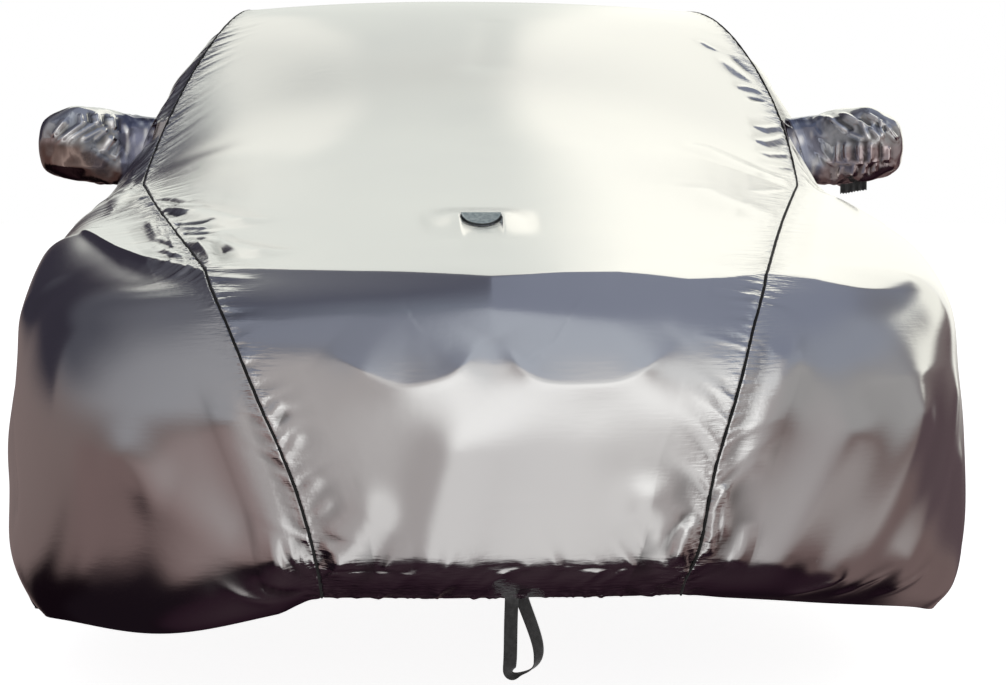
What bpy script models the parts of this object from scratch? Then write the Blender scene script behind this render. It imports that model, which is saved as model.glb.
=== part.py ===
"""A fitted car cover of coated cloth, in the shape in which it lies over a low two-door car.

Metres, +Z up. The front points to -Y, and left and right are those of the front view, -X and +X.
The origin is the inner face of the cloth at the middle of the roof, where the cover is held up.
The tables give places as the cover's maker would measure them: out from the middle line, back
from the front axle and up from the ground.
"""

import math

import bmesh
import bpy
import numpy as np
from mathutils import Matrix, Vector

COLLECTION = "car_cover"
CUTTER_COLLECTION = "car_cover_cutters"

# Cloth, piping and gaps
CLOTH = 0.0025  # the coated cloth with its soft backing
POCKET_CLOTH = 0.002
PIPING_RADIUS = 0.0025
PIPING_BEVEL_RESOLUTION = 1
SEWN_GAP = 0.0008  # from the piping to the cut edge of a panel
HOLE_CLEARANCE = 0.0008  # between a pocket's neck and the hole that it passes through
SIDES = {"left": -1, "right": 1}

# Where the roof's inner face lies, which is the origin
ROOF_BACK = 2.300
ROOF_HEIGHT = 1.442

# The cover is a loft of ribs. A station is a place along the car: 0 the front hem, 1 the lower
# lip, 4 the bonnet's leading edge, 10 the foot of the windscreen, 15 the middle of the roof,
# 20 the tail's edge, 23 the rear lip and 24 the rear hem. Each line below runs along the car.

# The middle line, and the height by which the crown of a rib is flattened: (station, back, up)
MIDDLE_LINE = (
    (0, -0.800, 0.238),
    (0.85, -0.862, 0.286),
    (1.15, -0.880, 0.312),
    (2, -0.905, 0.430),
    (3, -0.900, 0.560),
    (4, -0.850, 0.672),
    (5, -0.740, 0.742),
    (6, -0.500, 0.790),
    (7, -0.150, 0.852),
    (8, 0.250, 0.925),
    (9, 0.600, 1.000),
    (10, 0.870, 1.085),
    (12, 1.360, 1.285),
    (13, 1.600, 1.365),
    (14, 1.900, 1.420),
    (15, 2.300, 1.442),
    (16, 2.720, 1.410),
    (17, 3.100, 1.290),
    (18, 3.430, 1.145),
    (19, 3.700, 1.070),
    (20, 3.890, 1.025),
    (21, 3.975, 0.880),
    (22, 4.000, 0.620),
    (22.85, 3.975, 0.380),
    (23.15, 3.962, 0.350),
    (24, 3.890, 0.285),
)

# The piped seams, which pinch in at the foot of the windscreen pillars.
# The cloth is slacker on the right: (station, out on the left, out on the right, back, up)
SEAM_LINE = (
    (0, 0.288, 0.290, -0.785, 0.238),
    (0.85, 0.291, 0.296, -0.845, 0.286),
    (1.15, 0.295, 0.305, -0.862, 0.312),
    (2, 0.326, 0.326, -0.882, 0.430),
    (3, 0.381, 0.364, -0.870, 0.560),
    (4, 0.429, 0.399, -0.815, 0.665),
    (5, 0.470, 0.436, -0.705, 0.730),
    (6, 0.520, 0.487, -0.460, 0.772),
    (7, 0.598, 0.562, -0.110, 0.825),
    (8, 0.675, 0.648, 0.290, 0.868),
    (9, 0.735, 0.724, 0.650, 0.898),
    (10, 0.760, 0.762, 0.870, 0.926),
    (11, 0.745, 0.776, 1.120, 1.040),
    (12, 0.705, 0.760, 1.400, 1.188),
    (13, 0.650, 0.714, 1.660, 1.320),
    (14, 0.612, 0.672, 1.940, 1.394),
    (15, 0.600, 0.640, 2.300, 1.419),
    (16, 0.602, 0.625, 2.680, 1.382),
    (17, 0.635, 0.645, 3.020, 1.235),
    (18, 0.665, 0.668, 3.340, 1.070),
    (19, 0.650, 0.650, 3.620, 1.010),
    (20, 0.610, 0.610, 3.830, 0.965),
    (21, 0.540, 0.540, 3.920, 0.840),
    (22, 0.460, 0.460, 3.955, 0.620),
    (23, 0.370, 0.370, 3.930, 0.365),
    (24, 0.350, 0.350, 3.860, 0.285),
)

# The lines of a side panel, from the seam down to the hem: (station, out, back, up)
SIDE_LINES = {
    "rail": (
        (0, 0.460, -0.742, 0.226),
        (1, 0.480, -0.806, 0.290),
        (2, 0.515, -0.825, 0.430),
        (3, 0.550, -0.806, 0.558),
        (4, 0.575, -0.740, 0.655),
        (5, 0.602, -0.630, 0.718),
        (6, 0.655, -0.395, 0.760),
        (7, 0.708, -0.060, 0.808),
        (8, 0.764, 0.320, 0.848),
        (9, 0.802, 0.665, 0.878),
        (10, 0.817, 0.885, 0.899),
        (11, 0.817, 1.130, 0.968),
        (12, 0.799, 1.405, 1.052),
        (13, 0.777, 1.660, 1.120),
        (15, 0.756, 2.300, 1.170),
        (17, 0.767, 3.020, 1.070),
        (18, 0.770, 3.340, 0.990),
        (19, 0.750, 3.610, 0.945),
        (20, 0.705, 3.790, 0.900),
        (21, 0.650, 3.870, 0.790),
        (22, 0.600, 3.905, 0.600),
        (23, 0.530, 3.880, 0.355),
        (24, 0.500, 3.815, 0.275),
    ),
    "belt": (
        (0, 0.625, -0.655, 0.200),
        (1, 0.655, -0.708, 0.280),
        (2, 0.690, -0.712, 0.420),
        (3, 0.712, -0.680, 0.550),
        (4, 0.727, -0.608, 0.640),
        (5, 0.747, -0.495, 0.695),
        (6, 0.787, -0.270, 0.732),
        (7, 0.824, 0.020, 0.772),
        (8, 0.846, 0.370, 0.812),
        (9, 0.861, 0.700, 0.846),
        (10, 0.868, 0.910, 0.862),
        (12, 0.870, 1.410, 0.895),
        (15, 0.868, 2.300, 0.925),
        (17, 0.862, 3.000, 0.915),
        (18, 0.850, 3.310, 0.895),
        (19, 0.820, 3.560, 0.860),
        (20, 0.775, 3.700, 0.810),
        (21, 0.745, 3.760, 0.720),
        (22, 0.725, 3.780, 0.560),
        (23, 0.690, 3.750, 0.340),
        (24, 0.660, 3.700, 0.260),
    ),
    "side": (
        (0, 0.738, -0.545, 0.170),
        (1, 0.775, -0.570, 0.248),
        (2, 0.800, -0.535, 0.385),
        (3, 0.821, -0.465, 0.500),
        (4, 0.832, -0.390, 0.570),
        (5, 0.842, -0.290, 0.620),
        (6, 0.863, -0.115, 0.648),
        (7, 0.885, 0.110, 0.665),
        (8, 0.902, 0.420, 0.685),
        (9, 0.915, 0.720, 0.700),
        (12, 0.924, 1.420, 0.725),
        (15, 0.926, 2.300, 0.735),
        (17, 0.924, 2.900, 0.720),
        (18, 0.912, 3.170, 0.700),
        (19, 0.891, 3.370, 0.670),
        (20, 0.865, 3.500, 0.620),
        (21, 0.850, 3.560, 0.560),
        (22, 0.835, 3.590, 0.440),
        (23, 0.810, 3.570, 0.310),
        (24, 0.780, 3.540, 0.235),
    ),
    "sill": (
        (0, 0.785, -0.440, 0.148),
        (1, 0.824, -0.425, 0.200),
        (2, 0.860, -0.345, 0.275),
        (3, 0.878, -0.255, 0.335),
        (4, 0.895, -0.170, 0.375),
        (5, 0.904, -0.075, 0.405),
        (6, 0.909, 0.040, 0.420),
        (7, 0.912, 0.200, 0.420),
        (8, 0.914, 0.460, 0.420),
        (9, 0.915, 0.730, 0.420),
        (12, 0.918, 1.430, 0.420),
        (15, 0.920, 2.300, 0.420),
        (17, 0.936, 2.820, 0.425),
        (18, 0.934, 3.030, 0.410),
        (19, 0.922, 3.190, 0.385),
        (20, 0.905, 3.300, 0.350),
        (21, 0.893, 3.360, 0.320),
        (22, 0.880, 3.400, 0.280),
        (23, 0.865, 3.410, 0.240),
        (24, 0.845, 3.410, 0.205),
    ),
    "hem": (
        (0, 0.802, -0.345, 0.140),
        (1, 0.826, -0.290, 0.134),
        (2, 0.840, -0.215, 0.128),
        (3, 0.852, -0.145, 0.122),
        (4, 0.856, -0.075, 0.122),
        (5, 0.859, 0.000, 0.125),
        (6, 0.862, 0.090, 0.132),
        (7, 0.866, 0.230, 0.150),
        (8, 0.870, 0.470, 0.180),
        (9, 0.873, 0.740, 0.200),
        (12, 0.878, 1.430, 0.210),
        (15, 0.880, 2.300, 0.200),
        (17, 0.912, 2.780, 0.155),
        (18, 0.918, 2.950, 0.150),
        (19, 0.912, 3.080, 0.155),
        (20, 0.900, 3.180, 0.160),
        (21, 0.888, 3.240, 0.165),
        (22, 0.878, 3.280, 0.170),
        (23, 0.868, 3.310, 0.175),
        (24, 0.855, 3.340, 0.180),
    ),
}
CROWN_POWER = 2.2  # how the middle panel falls away from its middle line to its seams
SIDE_SPACING_POWER = 0.9  # how a side rib's parameter follows the distance between its lines

# The front hem sags on the left: its middle and half width are fractions of the rib's length
HEM_SAG = {"left": 0.050, "right": 0.008}
SAG_MIDDLE = 0.34
SAG_HALF_WIDTH = 0.30
SAG_STATIONS = 1.6  # the sag has died out this far above the hem
SAG_START = 0.10  # the share of the rib over which the sag grows from the seam

# Main folds, each a soft ridge or trough along a straight line on the panel. In the middle
# panel across runs from -1 at the left seam to 1 at the right one, in a side panel from 0 at
# the seam to 1 at the hem: (first station, first across, last station, last across,
# half width, height)
MIDDLE_FOLDS = (
    (10.0, -0.92, 10.9, -0.30, 0.075, 0.010),
    (10.2, 0.90, 11.6, 0.35, 0.070, 0.008),
    (11.2, 0.02, 12.6, 0.05, 0.060, -0.005),
    (7.6, -0.97, 6.9, -0.78, 0.050, 0.012),
    (6.4, -0.97, 5.9, -0.78, 0.050, 0.012),
    (7.2, 0.96, 7.9, 0.75, 0.050, 0.008),
    (9.1, 0.96, 9.6, 0.72, 0.055, 0.010),
    (1.1, 0.95, 1.8, 0.72, 0.050, 0.010),
    (1.1, -0.95, 1.7, -0.70, 0.050, 0.010),
    (2.4, -0.40, 1.2, -0.62, 0.060, -0.006),
    (3.4, 0.45, 1.9, 0.80, 0.070, -0.007),
    (16.6, -0.60, 18.4, -0.85, 0.080, 0.010),
    (16.8, 0.55, 18.2, 0.90, 0.080, 0.010),
    (21.0, 0.40, 22.6, 0.60, 0.070, -0.008),
)
SIDE_FOLDS = {
    "left": (
        (11.2, 0.06, 13.2, 0.06, 0.050, 0.014),
        (8.6, 0.05, 7.4, 0.38, 0.050, 0.010),
        (4.6, 0.62, 2.2, 0.70, 0.055, -0.010),
        (1.2, 0.08, 2.2, 0.26, 0.050, 0.010),
        (0.9, 0.42, 2.0, 0.30, 0.050, -0.008),
        (1.4, 0.80, 3.4, 0.86, 0.050, 0.012),
        (12.4, 0.12, 13.4, 0.42, 0.070, 0.010),
        (13.5, 0.80, 12.6, 0.55, 0.080, -0.010),
        (17.5, 0.40, 16.2, 0.72, 0.080, 0.012),
        (20.8, 0.35, 22.4, 0.60, 0.070, 0.010),
    ),
    "right": (
        (11.4, 0.07, 13.7, 0.06, 0.060, 0.036),
        (5.0, 0.30, 9.2, 0.33, 0.110, 0.030),
        (1.2, 0.16, 2.5, 0.20, 0.050, 0.010),
        (1.0, 0.30, 2.7, 0.33, 0.050, 0.012),
        (1.1, 0.46, 3.0, 0.46, 0.050, 0.010),
        (0.7, 0.72, 2.2, 0.56, 0.050, 0.010),
        (4.2, 0.10, 3.2, 0.16, 0.050, 0.008),
        (12.6, 0.10, 13.2, 0.45, 0.070, 0.012),
        (14.5, 0.78, 13.2, 0.50, 0.080, -0.010),
        (17.8, 0.42, 16.4, 0.70, 0.080, 0.012),
        (21.0, 0.40, 22.5, 0.62, 0.070, 0.010),
    ),
}
SEAM_REACH = 0.045  # a fold dies out over this distance from a seam

# The half-moon patch, on the front slope of a small swelling of the bonnet's cloth
PATCH_WIDTH = 0.074
PATCH_DEPTH = 0.046
PATCH_THICKNESS = 0.0015
PATCH_ARC_POINTS = 18
PATCH_LIFT = 0.0005  # over the cloth, which is faceted here
PATCH_BELOW_CREST = 0.001
SWELLING_FOOT = 6.57  # stations of the swelling's front foot, crest and rear foot
SWELLING_CREST = 6.71
SWELLING_REAR = 7.11
SWELLING_MIDDLE = -0.015  # across, in the middle panel
SWELLING_FLAT = 0.075  # half of the crest's level width, across
SWELLING_EDGE = 0.21  # half of the swelling's whole width, across
SWELLING_HEIGHT = 0.020

# Mirror pockets: a bag over each door mirror, with a straight neck that passes through its
# side panel. (out, back, up, half depth, half height, lean), where lean is how far the ring
# steps out for each metre up, so that the neck's rings follow the leaning side
POCKET_RINGS = (
    (0.792, 1.140, 0.962, 0.058, 0.058, -0.80),
    (0.846, 1.140, 0.962, 0.058, 0.058, -0.80),
    (0.868, 1.122, 0.982, 0.066, 0.074, -0.50),
    (0.893, 1.095, 0.998, 0.073, 0.088, -0.25),
    (0.930, 1.068, 1.004, 0.079, 0.089, 0.00),
    (0.972, 1.055, 1.005, 0.079, 0.084, 0.00),
    (1.008, 1.050, 1.003, 0.068, 0.072, 0.00),
    (1.030, 1.050, 1.001, 0.047, 0.050, 0.00),
)
POCKET_TIP = (1.041, 1.050, 1.000)
POCKET_SIDES = 20
POCKET_SQUARENESS = 2.5  # the power of a ring's superellipse: 2 is an ellipse
POCKET_RIPPLE = {"left": 0.003, "right": 0.005}  # height of the folds round the bag
POCKET_REACH = {"left": -0.006, "right": 0.013}  # the bags lie this much further out
RIPPLES_ROUND = 5
FIRST_RIPPLED_RING = 2
POCKET_TWIST = 2.1  # radians by which the folds turn from one ring to the next
HOLE_CUTTER_ENDS = (0.70, 0.96)  # out from the middle line

# The gathered tab under the right pocket
TAB_ENDS = (0.905, 0.970)  # out from the middle line
TAB_BACK = 1.062
TAB_DROP = 0.023
TAB_THICKNESS = 0.0025
TAB_WAVE = 0.003
TAB_TOP_WAVE_SHARE = 0.4  # the waves are this much smaller where the tab is sewn on
TAB_WAVES = 4
TAB_POINTS = 25
TAB_GAP = 0.0009  # under the pocket's cloth

# The webbing loop at the front hem: (out, back, up, turn), down the first leg, across and up
# the second one. Turn is the angle in degrees from +X to the webbing's width.
STRAP_WIDTH = 0.022
STRAP_THICKNESS = 0.002
STRAP_PATH = (
    (0.017, -0.822, 0.2665, 0),
    (0.016, -0.800, 0.2445, 0),
    (0.016, -0.786, 0.2240, 0),
    (0.015, -0.784, 0.1850, 0),
    (0.014, -0.784, 0.1350, 4),
    (0.013, -0.780, 0.1160, 25),
    (0.020, -0.770, 0.1075, 58),
    (0.038, -0.758, 0.1075, 74),
    (0.055, -0.750, 0.1160, 62),
    (0.062, -0.749, 0.1350, 40),
    (0.057, -0.752, 0.1650, 30),
    (0.042, -0.762, 0.2080, 24),
    (0.031, -0.771, 0.2380, 12),
    (0.027, -0.790, 0.2520, 4),
    (0.024, -0.812, 0.2700, 0),
)
STRAP_STEPS = 3  # lengths of webbing between two points of the path

# Places along the car and across the panels where the solids have points
LIP_STATIONS = (0, 0.45, 0.85, 1.15)
REAR_LIP_STATIONS = (22.85, 23.15, 23.6, 24)
EVEN_STATIONS = np.arange(1.5, 22.6, 0.5)
SWELLING_STATIONS = (
    SWELLING_FOOT,
    SWELLING_CREST,
    0.5 * (SWELLING_CREST + SWELLING_REAR),
    SWELLING_REAR,
)
STATION_GAP = 0.12  # even stations nearer than this to the swelling's are left out
MIDDLE_ACROSS_RIGHT = (0.060, 0.17, 0.32, 0.48, 0.64, 0.78, 0.90, 1.0)
MIDDLE_ACROSS_LEFT = (-1.0, -0.90, -0.78, -0.64, -0.48, -0.34, -0.20, -0.090)
SIDE_ACROSS_POINTS = 15
RIB_POINTS = 61  # steps in which a rib's length is measured
SHARP_ANGLE = math.radians(50)
SIDE_OUTWARDS = 0.3  # how much up there is in a side panel's outward direction
AXIS_BELOW_ORIGIN = 0.7  # the middle of the hollow under the cover
AXIS_LENGTH_WEIGHT = 0.3

COLOURS = {
    "silver_cloth": ((0.62, 0.63, 0.64, 1), 0.35, 0.75),
    "black_piping": ((0.02, 0.02, 0.022, 1), 0.55, 0.0),
    "black_webbing": ((0.018, 0.017, 0.02, 1), 0.80, 0.0),
    "grey_patch": ((0.36, 0.41, 0.44, 1), 0.60, 0.0),
}


def spline(knots, values, places):
    """The natural cubic spline through the values at the knots, read at these places."""
    knots = np.asarray(knots, float)
    values = np.asarray(values, float)
    places = np.asarray(places, float)
    last = len(knots) - 1
    steps = np.diff(knots)
    system = np.zeros((last + 1, last + 1))
    wanted = np.zeros_like(values)
    system[0, 0] = 1
    system[last, last] = 1
    for i in range(1, last):
        system[i, i - 1 : i + 2] = steps[i - 1], 2 * (steps[i - 1] + steps[i]), steps[i]
        slopes = np.diff(values[i - 1 : i + 2], axis=0) / steps[i - 1 : i + 1, None]
        wanted[i] = 6 * (slopes[1] - slopes[0])
    bends = np.linalg.solve(system, wanted)
    cell = np.clip(np.searchsorted(knots, places, side="right") - 1, 0, last - 1)
    step = steps[cell][:, None]
    done = (places - knots[cell])[:, None] / step
    left = 1 - done
    straight = values[cell] * left + values[cell + 1] * done
    bend = bends[cell] * (left**3 - left) + bends[cell + 1] * (done**3 - done)
    return straight + bend * step**2 / 6


def smooth_step(low, high, value):
    """0 below low, 1 above high, and an easy rise between them."""
    share = np.clip((value - low) / (high - low), 0, 1)
    return share * share * (3 - 2 * share)


def in_frame(points):
    """Places out, back and up become coordinates in the part's frame."""
    return np.asarray(points, float) - (0, ROOF_BACK, ROOF_HEIGHT - CLOTH)


def middle_line(stations):
    rows = np.array(MIDDLE_LINE)
    points = spline(rows[:, 0], rows[:, 1:], stations)
    return np.column_stack([np.zeros(len(points)), points])


def seam_line(stations, side):
    """The seam's points as places out, back and up, with out negative on the left."""
    rows = np.array(SEAM_LINE)
    out_column = {"left": 1, "right": 2}[side]
    points = spline(rows[:, 0], rows[:, [out_column, 3, 4]], stations)
    points[:, 0] *= SIDES[side]
    return points


def middle_ribs(stations):
    """One rib of the middle panel per station, from the left seam to the right one."""
    middle = middle_line(stations)[:, None, :]
    share = np.linspace(-1, 1, 2 * RIB_POINTS - 1)[None, :, None]
    ends = {side: seam_line(stations, side)[:, None, :] for side in SIDES}
    end = np.where(share < 0, ends["left"], ends["right"])
    ribs = middle + (end - middle) * np.abs(share) ** CROWN_POWER
    ribs[:, :, 0] = (end * np.abs(share))[:, :, 0]
    return in_frame(ribs)


def side_ribs(stations, side):
    """One rib of a side panel per station, from the seam to the hem."""
    lines = [seam_line(stations, side)]
    for rows in SIDE_LINES.values():
        rows = np.array(rows)
        line = spline(rows[:, 0], rows[:, 1:], stations)
        line[:, 0] *= SIDES[side]
        lines.append(line)
    knots = np.stack(lines, axis=1)
    share = np.linspace(0, 1, RIB_POINTS)
    ribs = np.empty((len(stations), RIB_POINTS, 3))
    for i, rib in enumerate(knots):
        steps = np.linalg.norm(np.diff(rib, axis=0), axis=1) ** SIDE_SPACING_POWER
        places = np.concatenate([[0], np.cumsum(steps)])
        ribs[i] = spline(places / places[-1], rib, share)
    near_hem = 1 - smooth_step(0, SAG_STATIONS, np.asarray(stations, float))
    hump = np.exp(-(((share - SAG_MIDDLE) / SAG_HALF_WIDTH) ** 2)) * smooth_step(0, SAG_START, share)
    ribs[:, :, 2] -= HEM_SAG[side] * near_hem[:, None] * hump[None, :]
    return in_frame(ribs)


def read_ribs(ribs, across, first_gap, last_gap):
    """The ribs' points at these shares of their length, between a gap at each end."""
    grid = np.empty((len(ribs), len(across), 3))
    for i, rib in enumerate(ribs):
        steps = np.linalg.norm(np.diff(rib, axis=0), axis=1)
        lengths = np.concatenate([[0], np.cumsum(steps)])
        wanted = first_gap + (lengths[-1] - first_gap - last_gap) * np.asarray(across)
        for axis in range(3):
            grid[i, :, axis] = np.interp(wanted, lengths, rib[:, axis])
    return grid


def normals_of(grid, outwards):
    """A unit normal at each point of a grid, turned to the same side as outwards."""
    along = np.gradient(grid, axis=0)
    over = np.gradient(grid, axis=1)
    normals = np.cross(along, over)
    normals /= np.linalg.norm(normals, axis=2, keepdims=True)
    turned = np.sign((normals * outwards).sum(axis=2, keepdims=True).mean())
    return normals * turned


def point_on(grid, stations, across, station, place):
    """The grid's point at this station and this place across, read in straight steps."""
    rows = [[np.interp(place, across, row[:, axis]) for axis in range(3)] for row in grid]
    rows = np.array(rows)
    return np.array([np.interp(station, stations, rows[:, axis]) for axis in range(3)])


def fold_heights(grid, stations, across, folds):
    """How far the folds lift each point of the grid."""
    heights = np.zeros(grid.shape[:2])
    for first_station, first_across, last_station, last_across, half_width, height in folds:
        first = point_on(grid, stations, across, first_station, first_across)
        last = point_on(grid, stations, across, last_station, last_across)
        line = last - first
        share = np.clip(((grid - first) @ line) / (line @ line), 0, 1)
        away = np.linalg.norm(grid - first - share[..., None] * line, axis=2)
        heights += height * np.exp(-((away / half_width) ** 2))
    return heights


def swelling_heights(stations, across):
    """The lift of the swelling that carries the patch."""
    stations = np.asarray(stations)[:, None]
    across = np.asarray(across)[None, :]
    rise = np.clip((stations - SWELLING_FOOT) / (SWELLING_CREST - SWELLING_FOOT), 0, 1)
    fall = 1 - smooth_step(SWELLING_CREST, SWELLING_REAR, stations)
    level = 1 - smooth_step(SWELLING_FLAT, SWELLING_EDGE, np.abs(across - SWELLING_MIDDLE))
    return SWELLING_HEIGHT * rise * fall * level


def all_stations():
    near = np.abs(EVEN_STATIONS[:, None] - np.array(SWELLING_STATIONS)[None, :]).min(axis=1)
    even = EVEN_STATIONS[near > STATION_GAP]
    places = [*LIP_STATIONS, *even, *SWELLING_STATIONS, *REAR_LIP_STATIONS]
    return np.array(sorted(places))


def edge_gap():
    """From a seam's line to the edge of the cloth beside the piping."""
    return PIPING_RADIUS + SEWN_GAP


def middle_grid():
    stations = all_stations()
    across = np.array([*MIDDLE_ACROSS_LEFT, SWELLING_MIDDLE, *MIDDLE_ACROSS_RIGHT])
    grid = read_ribs(middle_ribs(stations), (across + 1) / 2, edge_gap(), edge_gap())
    normals = normals_of(grid, grid - grid.mean(axis=(0, 1)))
    heights = fold_heights(grid, stations, across, MIDDLE_FOLDS)
    to_seam = np.minimum(
        np.linalg.norm(grid - grid[:, :1], axis=2),
        np.linalg.norm(grid - grid[:, -1:], axis=2),
    )
    heights *= smooth_step(0, SEAM_REACH, to_seam)
    heights += swelling_heights(stations, across)
    return grid + normals * heights[..., None], stations, across


def side_grid(side):
    stations = all_stations()
    across = np.linspace(0, 1, SIDE_ACROSS_POINTS)
    grid = read_ribs(side_ribs(stations, side), across, edge_gap(), 0)
    normals = normals_of(grid, np.array([SIDES[side], 0, SIDE_OUTWARDS]))
    heights = fold_heights(grid, stations, across, SIDE_FOLDS[side])
    heights *= smooth_step(0, SEAM_REACH, np.linalg.norm(grid - grid[:, :1], axis=2))
    return grid + normals * heights[..., None]


def clear_scene():
    for obj in list(bpy.data.objects):
        bpy.data.objects.remove(obj, do_unlink=True)


def new_collection(name):
    collection = bpy.data.collections.new(name)
    bpy.context.scene.collection.children.link(collection)
    return collection


def material(name):
    colour, roughness, metallic = COLOURS[name]
    made = bpy.data.materials.get(name) or bpy.data.materials.new(name)
    made.use_nodes = True
    made.diffuse_color = colour
    shader = made.node_tree.nodes["Principled BSDF"]
    shader.inputs["Base Color"].default_value = colour
    shader.inputs["Roughness"].default_value = roughness
    shader.inputs["Metallic"].default_value = metallic
    return made


def add_object(name, data, material_name, collection):
    obj = bpy.data.objects.new(name, data)
    obj.data.materials.append(material(material_name))
    collection.objects.link(obj)
    return obj


def grid_mesh(name, grid, outwards, closed_round=False, tip=None):
    """A mesh of the grid's faces, facing outwards, closed round its columns if asked."""
    mesh = bpy.data.meshes.new(name)
    work = bmesh.new()
    rows, columns = grid.shape[:2]
    points = [[work.verts.new(place) for place in row] for row in grid]
    for i in range(rows - 1):
        for j in range(columns if closed_round else columns - 1):
            k = (j + 1) % columns
            work.faces.new((points[i][j], points[i][k], points[i + 1][k], points[i + 1][j]))
    if tip is not None:
        end = work.verts.new(tip)
        for j in range(columns):
            work.faces.new((points[-1][j], points[-1][(j + 1) % columns], end))
    work.normal_update()
    if sum(face.normal.dot(Vector(outwards(face.calc_center_median()))) for face in work.faces) < 0:
        bmesh.ops.reverse_faces(work, faces=work.faces)
    work.to_mesh(mesh)
    work.free()
    mesh.shade_smooth()
    mesh.set_sharp_from_angle(angle=SHARP_ANGLE)
    return mesh


def thicken(obj, thickness, offset=-1):
    shell = obj.modifiers.new("Cloth", "SOLIDIFY")
    shell.thickness = thickness
    shell.offset = offset
    shell.use_even_offset = False
    return shell


def away_from_axis(centre):
    """Out from the car's long axis, and out from its middle at the ends."""
    return (centre.x, AXIS_LENGTH_WEIGHT * centre.y, centre.z + AXIS_BELOW_ORIGIN)


def middle_panel(collection):
    grid, _, _ = middle_grid()
    mesh = grid_mesh("centre_panel", grid, away_from_axis)
    panel = add_object("centre_panel", mesh, "silver_cloth", collection)
    thicken(panel, CLOTH)
    return panel


def side_panel(side, collection, cutter):
    name = f"side_panel_{side}"
    mesh = grid_mesh(name, side_grid(side), away_from_axis)
    panel = add_object(name, mesh, "silver_cloth", collection)
    thicken(panel, CLOTH)
    hole = panel.modifiers.new("Pocket hole", "BOOLEAN")
    hole.operation = "DIFFERENCE"
    hole.solver = "EXACT"
    hole.object = cutter
    return panel


def piping(side, collection):
    """A round cord in its strip of cloth, along the seam between two panels."""
    name = f"piping_{side}"
    curve = bpy.data.curves.new(name, "CURVE")
    curve.dimensions = "3D"
    curve.bevel_depth = PIPING_RADIUS
    curve.bevel_resolution = PIPING_BEVEL_RESOLUTION
    curve.use_fill_caps = True
    places = in_frame(seam_line(all_stations(), side))
    line = curve.splines.new("POLY")
    line.points.add(len(places) - 1)
    for point, place in zip(line.points, places):
        point.co = (*place, 1)
    return add_object(name, curve, "black_piping", collection)


def pocket_ring(row, side, grown=0.0, ripple=0.0):
    """One ring of a mirror pocket, grown by a margin and rippled by its folds."""
    out, back, up, half_depth, half_height, lean = row
    turns = np.linspace(0, 2 * math.pi, POCKET_SIDES, endpoint=False)
    power = 2 / POCKET_SQUARENESS
    depth = np.sign(np.cos(turns)) * np.abs(np.cos(turns)) ** power
    height = np.sign(np.sin(turns)) * np.abs(np.sin(turns)) ** power
    swell = grown + ripple * np.cos(RIPPLES_ROUND * turns)
    y = back + (half_depth + swell) * depth
    z = up + (half_height + swell) * height
    x = out + lean * (z - up)
    return in_frame(np.column_stack([SIDES[side] * x, y, z]))


def pocket(side, collection):
    rings = []
    reach = POCKET_REACH[side]
    for i, (out, *rest) in enumerate(POCKET_RINGS):
        # The folds twist round the bag, and they change sides from ring to ring.
        swing = math.cos(POCKET_TWIST * i) if i >= FIRST_RIPPLED_RING else 0
        rings.append(pocket_ring((out + reach, *rest), side, ripple=POCKET_RIPPLE[side] * swing))
    grid = np.array(rings)
    tip = in_frame((SIDES[side] * (POCKET_TIP[0] + reach), POCKET_TIP[1], POCKET_TIP[2]))
    middle = Vector(grid.mean(axis=(0, 1)))
    name = f"mirror_pocket_{side}"
    mesh = grid_mesh(name, grid, lambda centre: centre - middle, closed_round=True, tip=tip)
    bag = add_object(name, mesh, "silver_cloth", collection)
    thicken(bag, POCKET_CLOTH)
    return bag


def hole_cutter(side, collection):
    """A straight prism a little larger than the pocket's neck."""
    _, back, up, half_depth, half_height, _ = POCKET_RINGS[0]
    ends = []
    for out in HOLE_CUTTER_ENDS:
        row = (out, back, up, half_depth, half_height, 0)
        ends.append(pocket_ring(row, side, grown=HOLE_CLEARANCE))
    mesh = bpy.data.meshes.new(f"hole_cutter_{side}")
    work = bmesh.new()
    near, far = [[work.verts.new(place) for place in ring] for ring in ends]
    work.faces.new(near)
    work.faces.new(far)
    for j in range(POCKET_SIDES):
        k = (j + 1) % POCKET_SIDES
        work.faces.new((near[j], near[k], far[k], far[j]))
    bmesh.ops.recalc_face_normals(work, faces=work.faces)
    work.to_mesh(mesh)
    work.free()
    cutter = bpy.data.objects.new(mesh.name, mesh)
    cutter.hide_render = True
    cutter.display_type = "WIRE"
    collection.objects.link(cutter)
    return cutter


def pocket_underside(outs):
    """The height of the right pocket's lowest line at these places out."""
    places = []
    heights = []
    for out, _, up, _, half_height, lean in POCKET_RINGS[FIRST_RIPPLED_RING:]:
        places.append(out + POCKET_REACH["right"] - lean * half_height)
        heights.append(up - half_height)
    return np.interp(outs, places, heights)


def pocket_tab(collection):
    """The short gathered strip that hangs from the underside of the right pocket."""
    outs = np.linspace(*TAB_ENDS, TAB_POINTS)
    wave = TAB_WAVE * np.sin(np.linspace(0, 2 * math.pi * TAB_WAVES, TAB_POINTS))
    top = pocket_underside(outs) - TAB_GAP
    rows = []
    for share in (0, 0.5, 1):
        swing = wave * (TAB_TOP_WAVE_SHARE + (1 - TAB_TOP_WAVE_SHARE) * share)
        rows.append(in_frame(np.column_stack([outs, TAB_BACK + swing, top - share * TAB_DROP])))
    mesh = grid_mesh("pocket_tab_right", np.array(rows), lambda centre: (0, -1, 0))
    tab = add_object("pocket_tab_right", mesh, "black_webbing", collection)
    thicken(tab, TAB_THICKNESS, offset=0)
    return tab


def patch_outline():
    """A half-moon: a straight rear edge and a half ellipse towards the front."""
    angles = np.linspace(math.pi, 2 * math.pi, PATCH_ARC_POINTS)
    return [(0.5 * PATCH_WIDTH * math.cos(a), PATCH_DEPTH * math.sin(a)) for a in angles]


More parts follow.
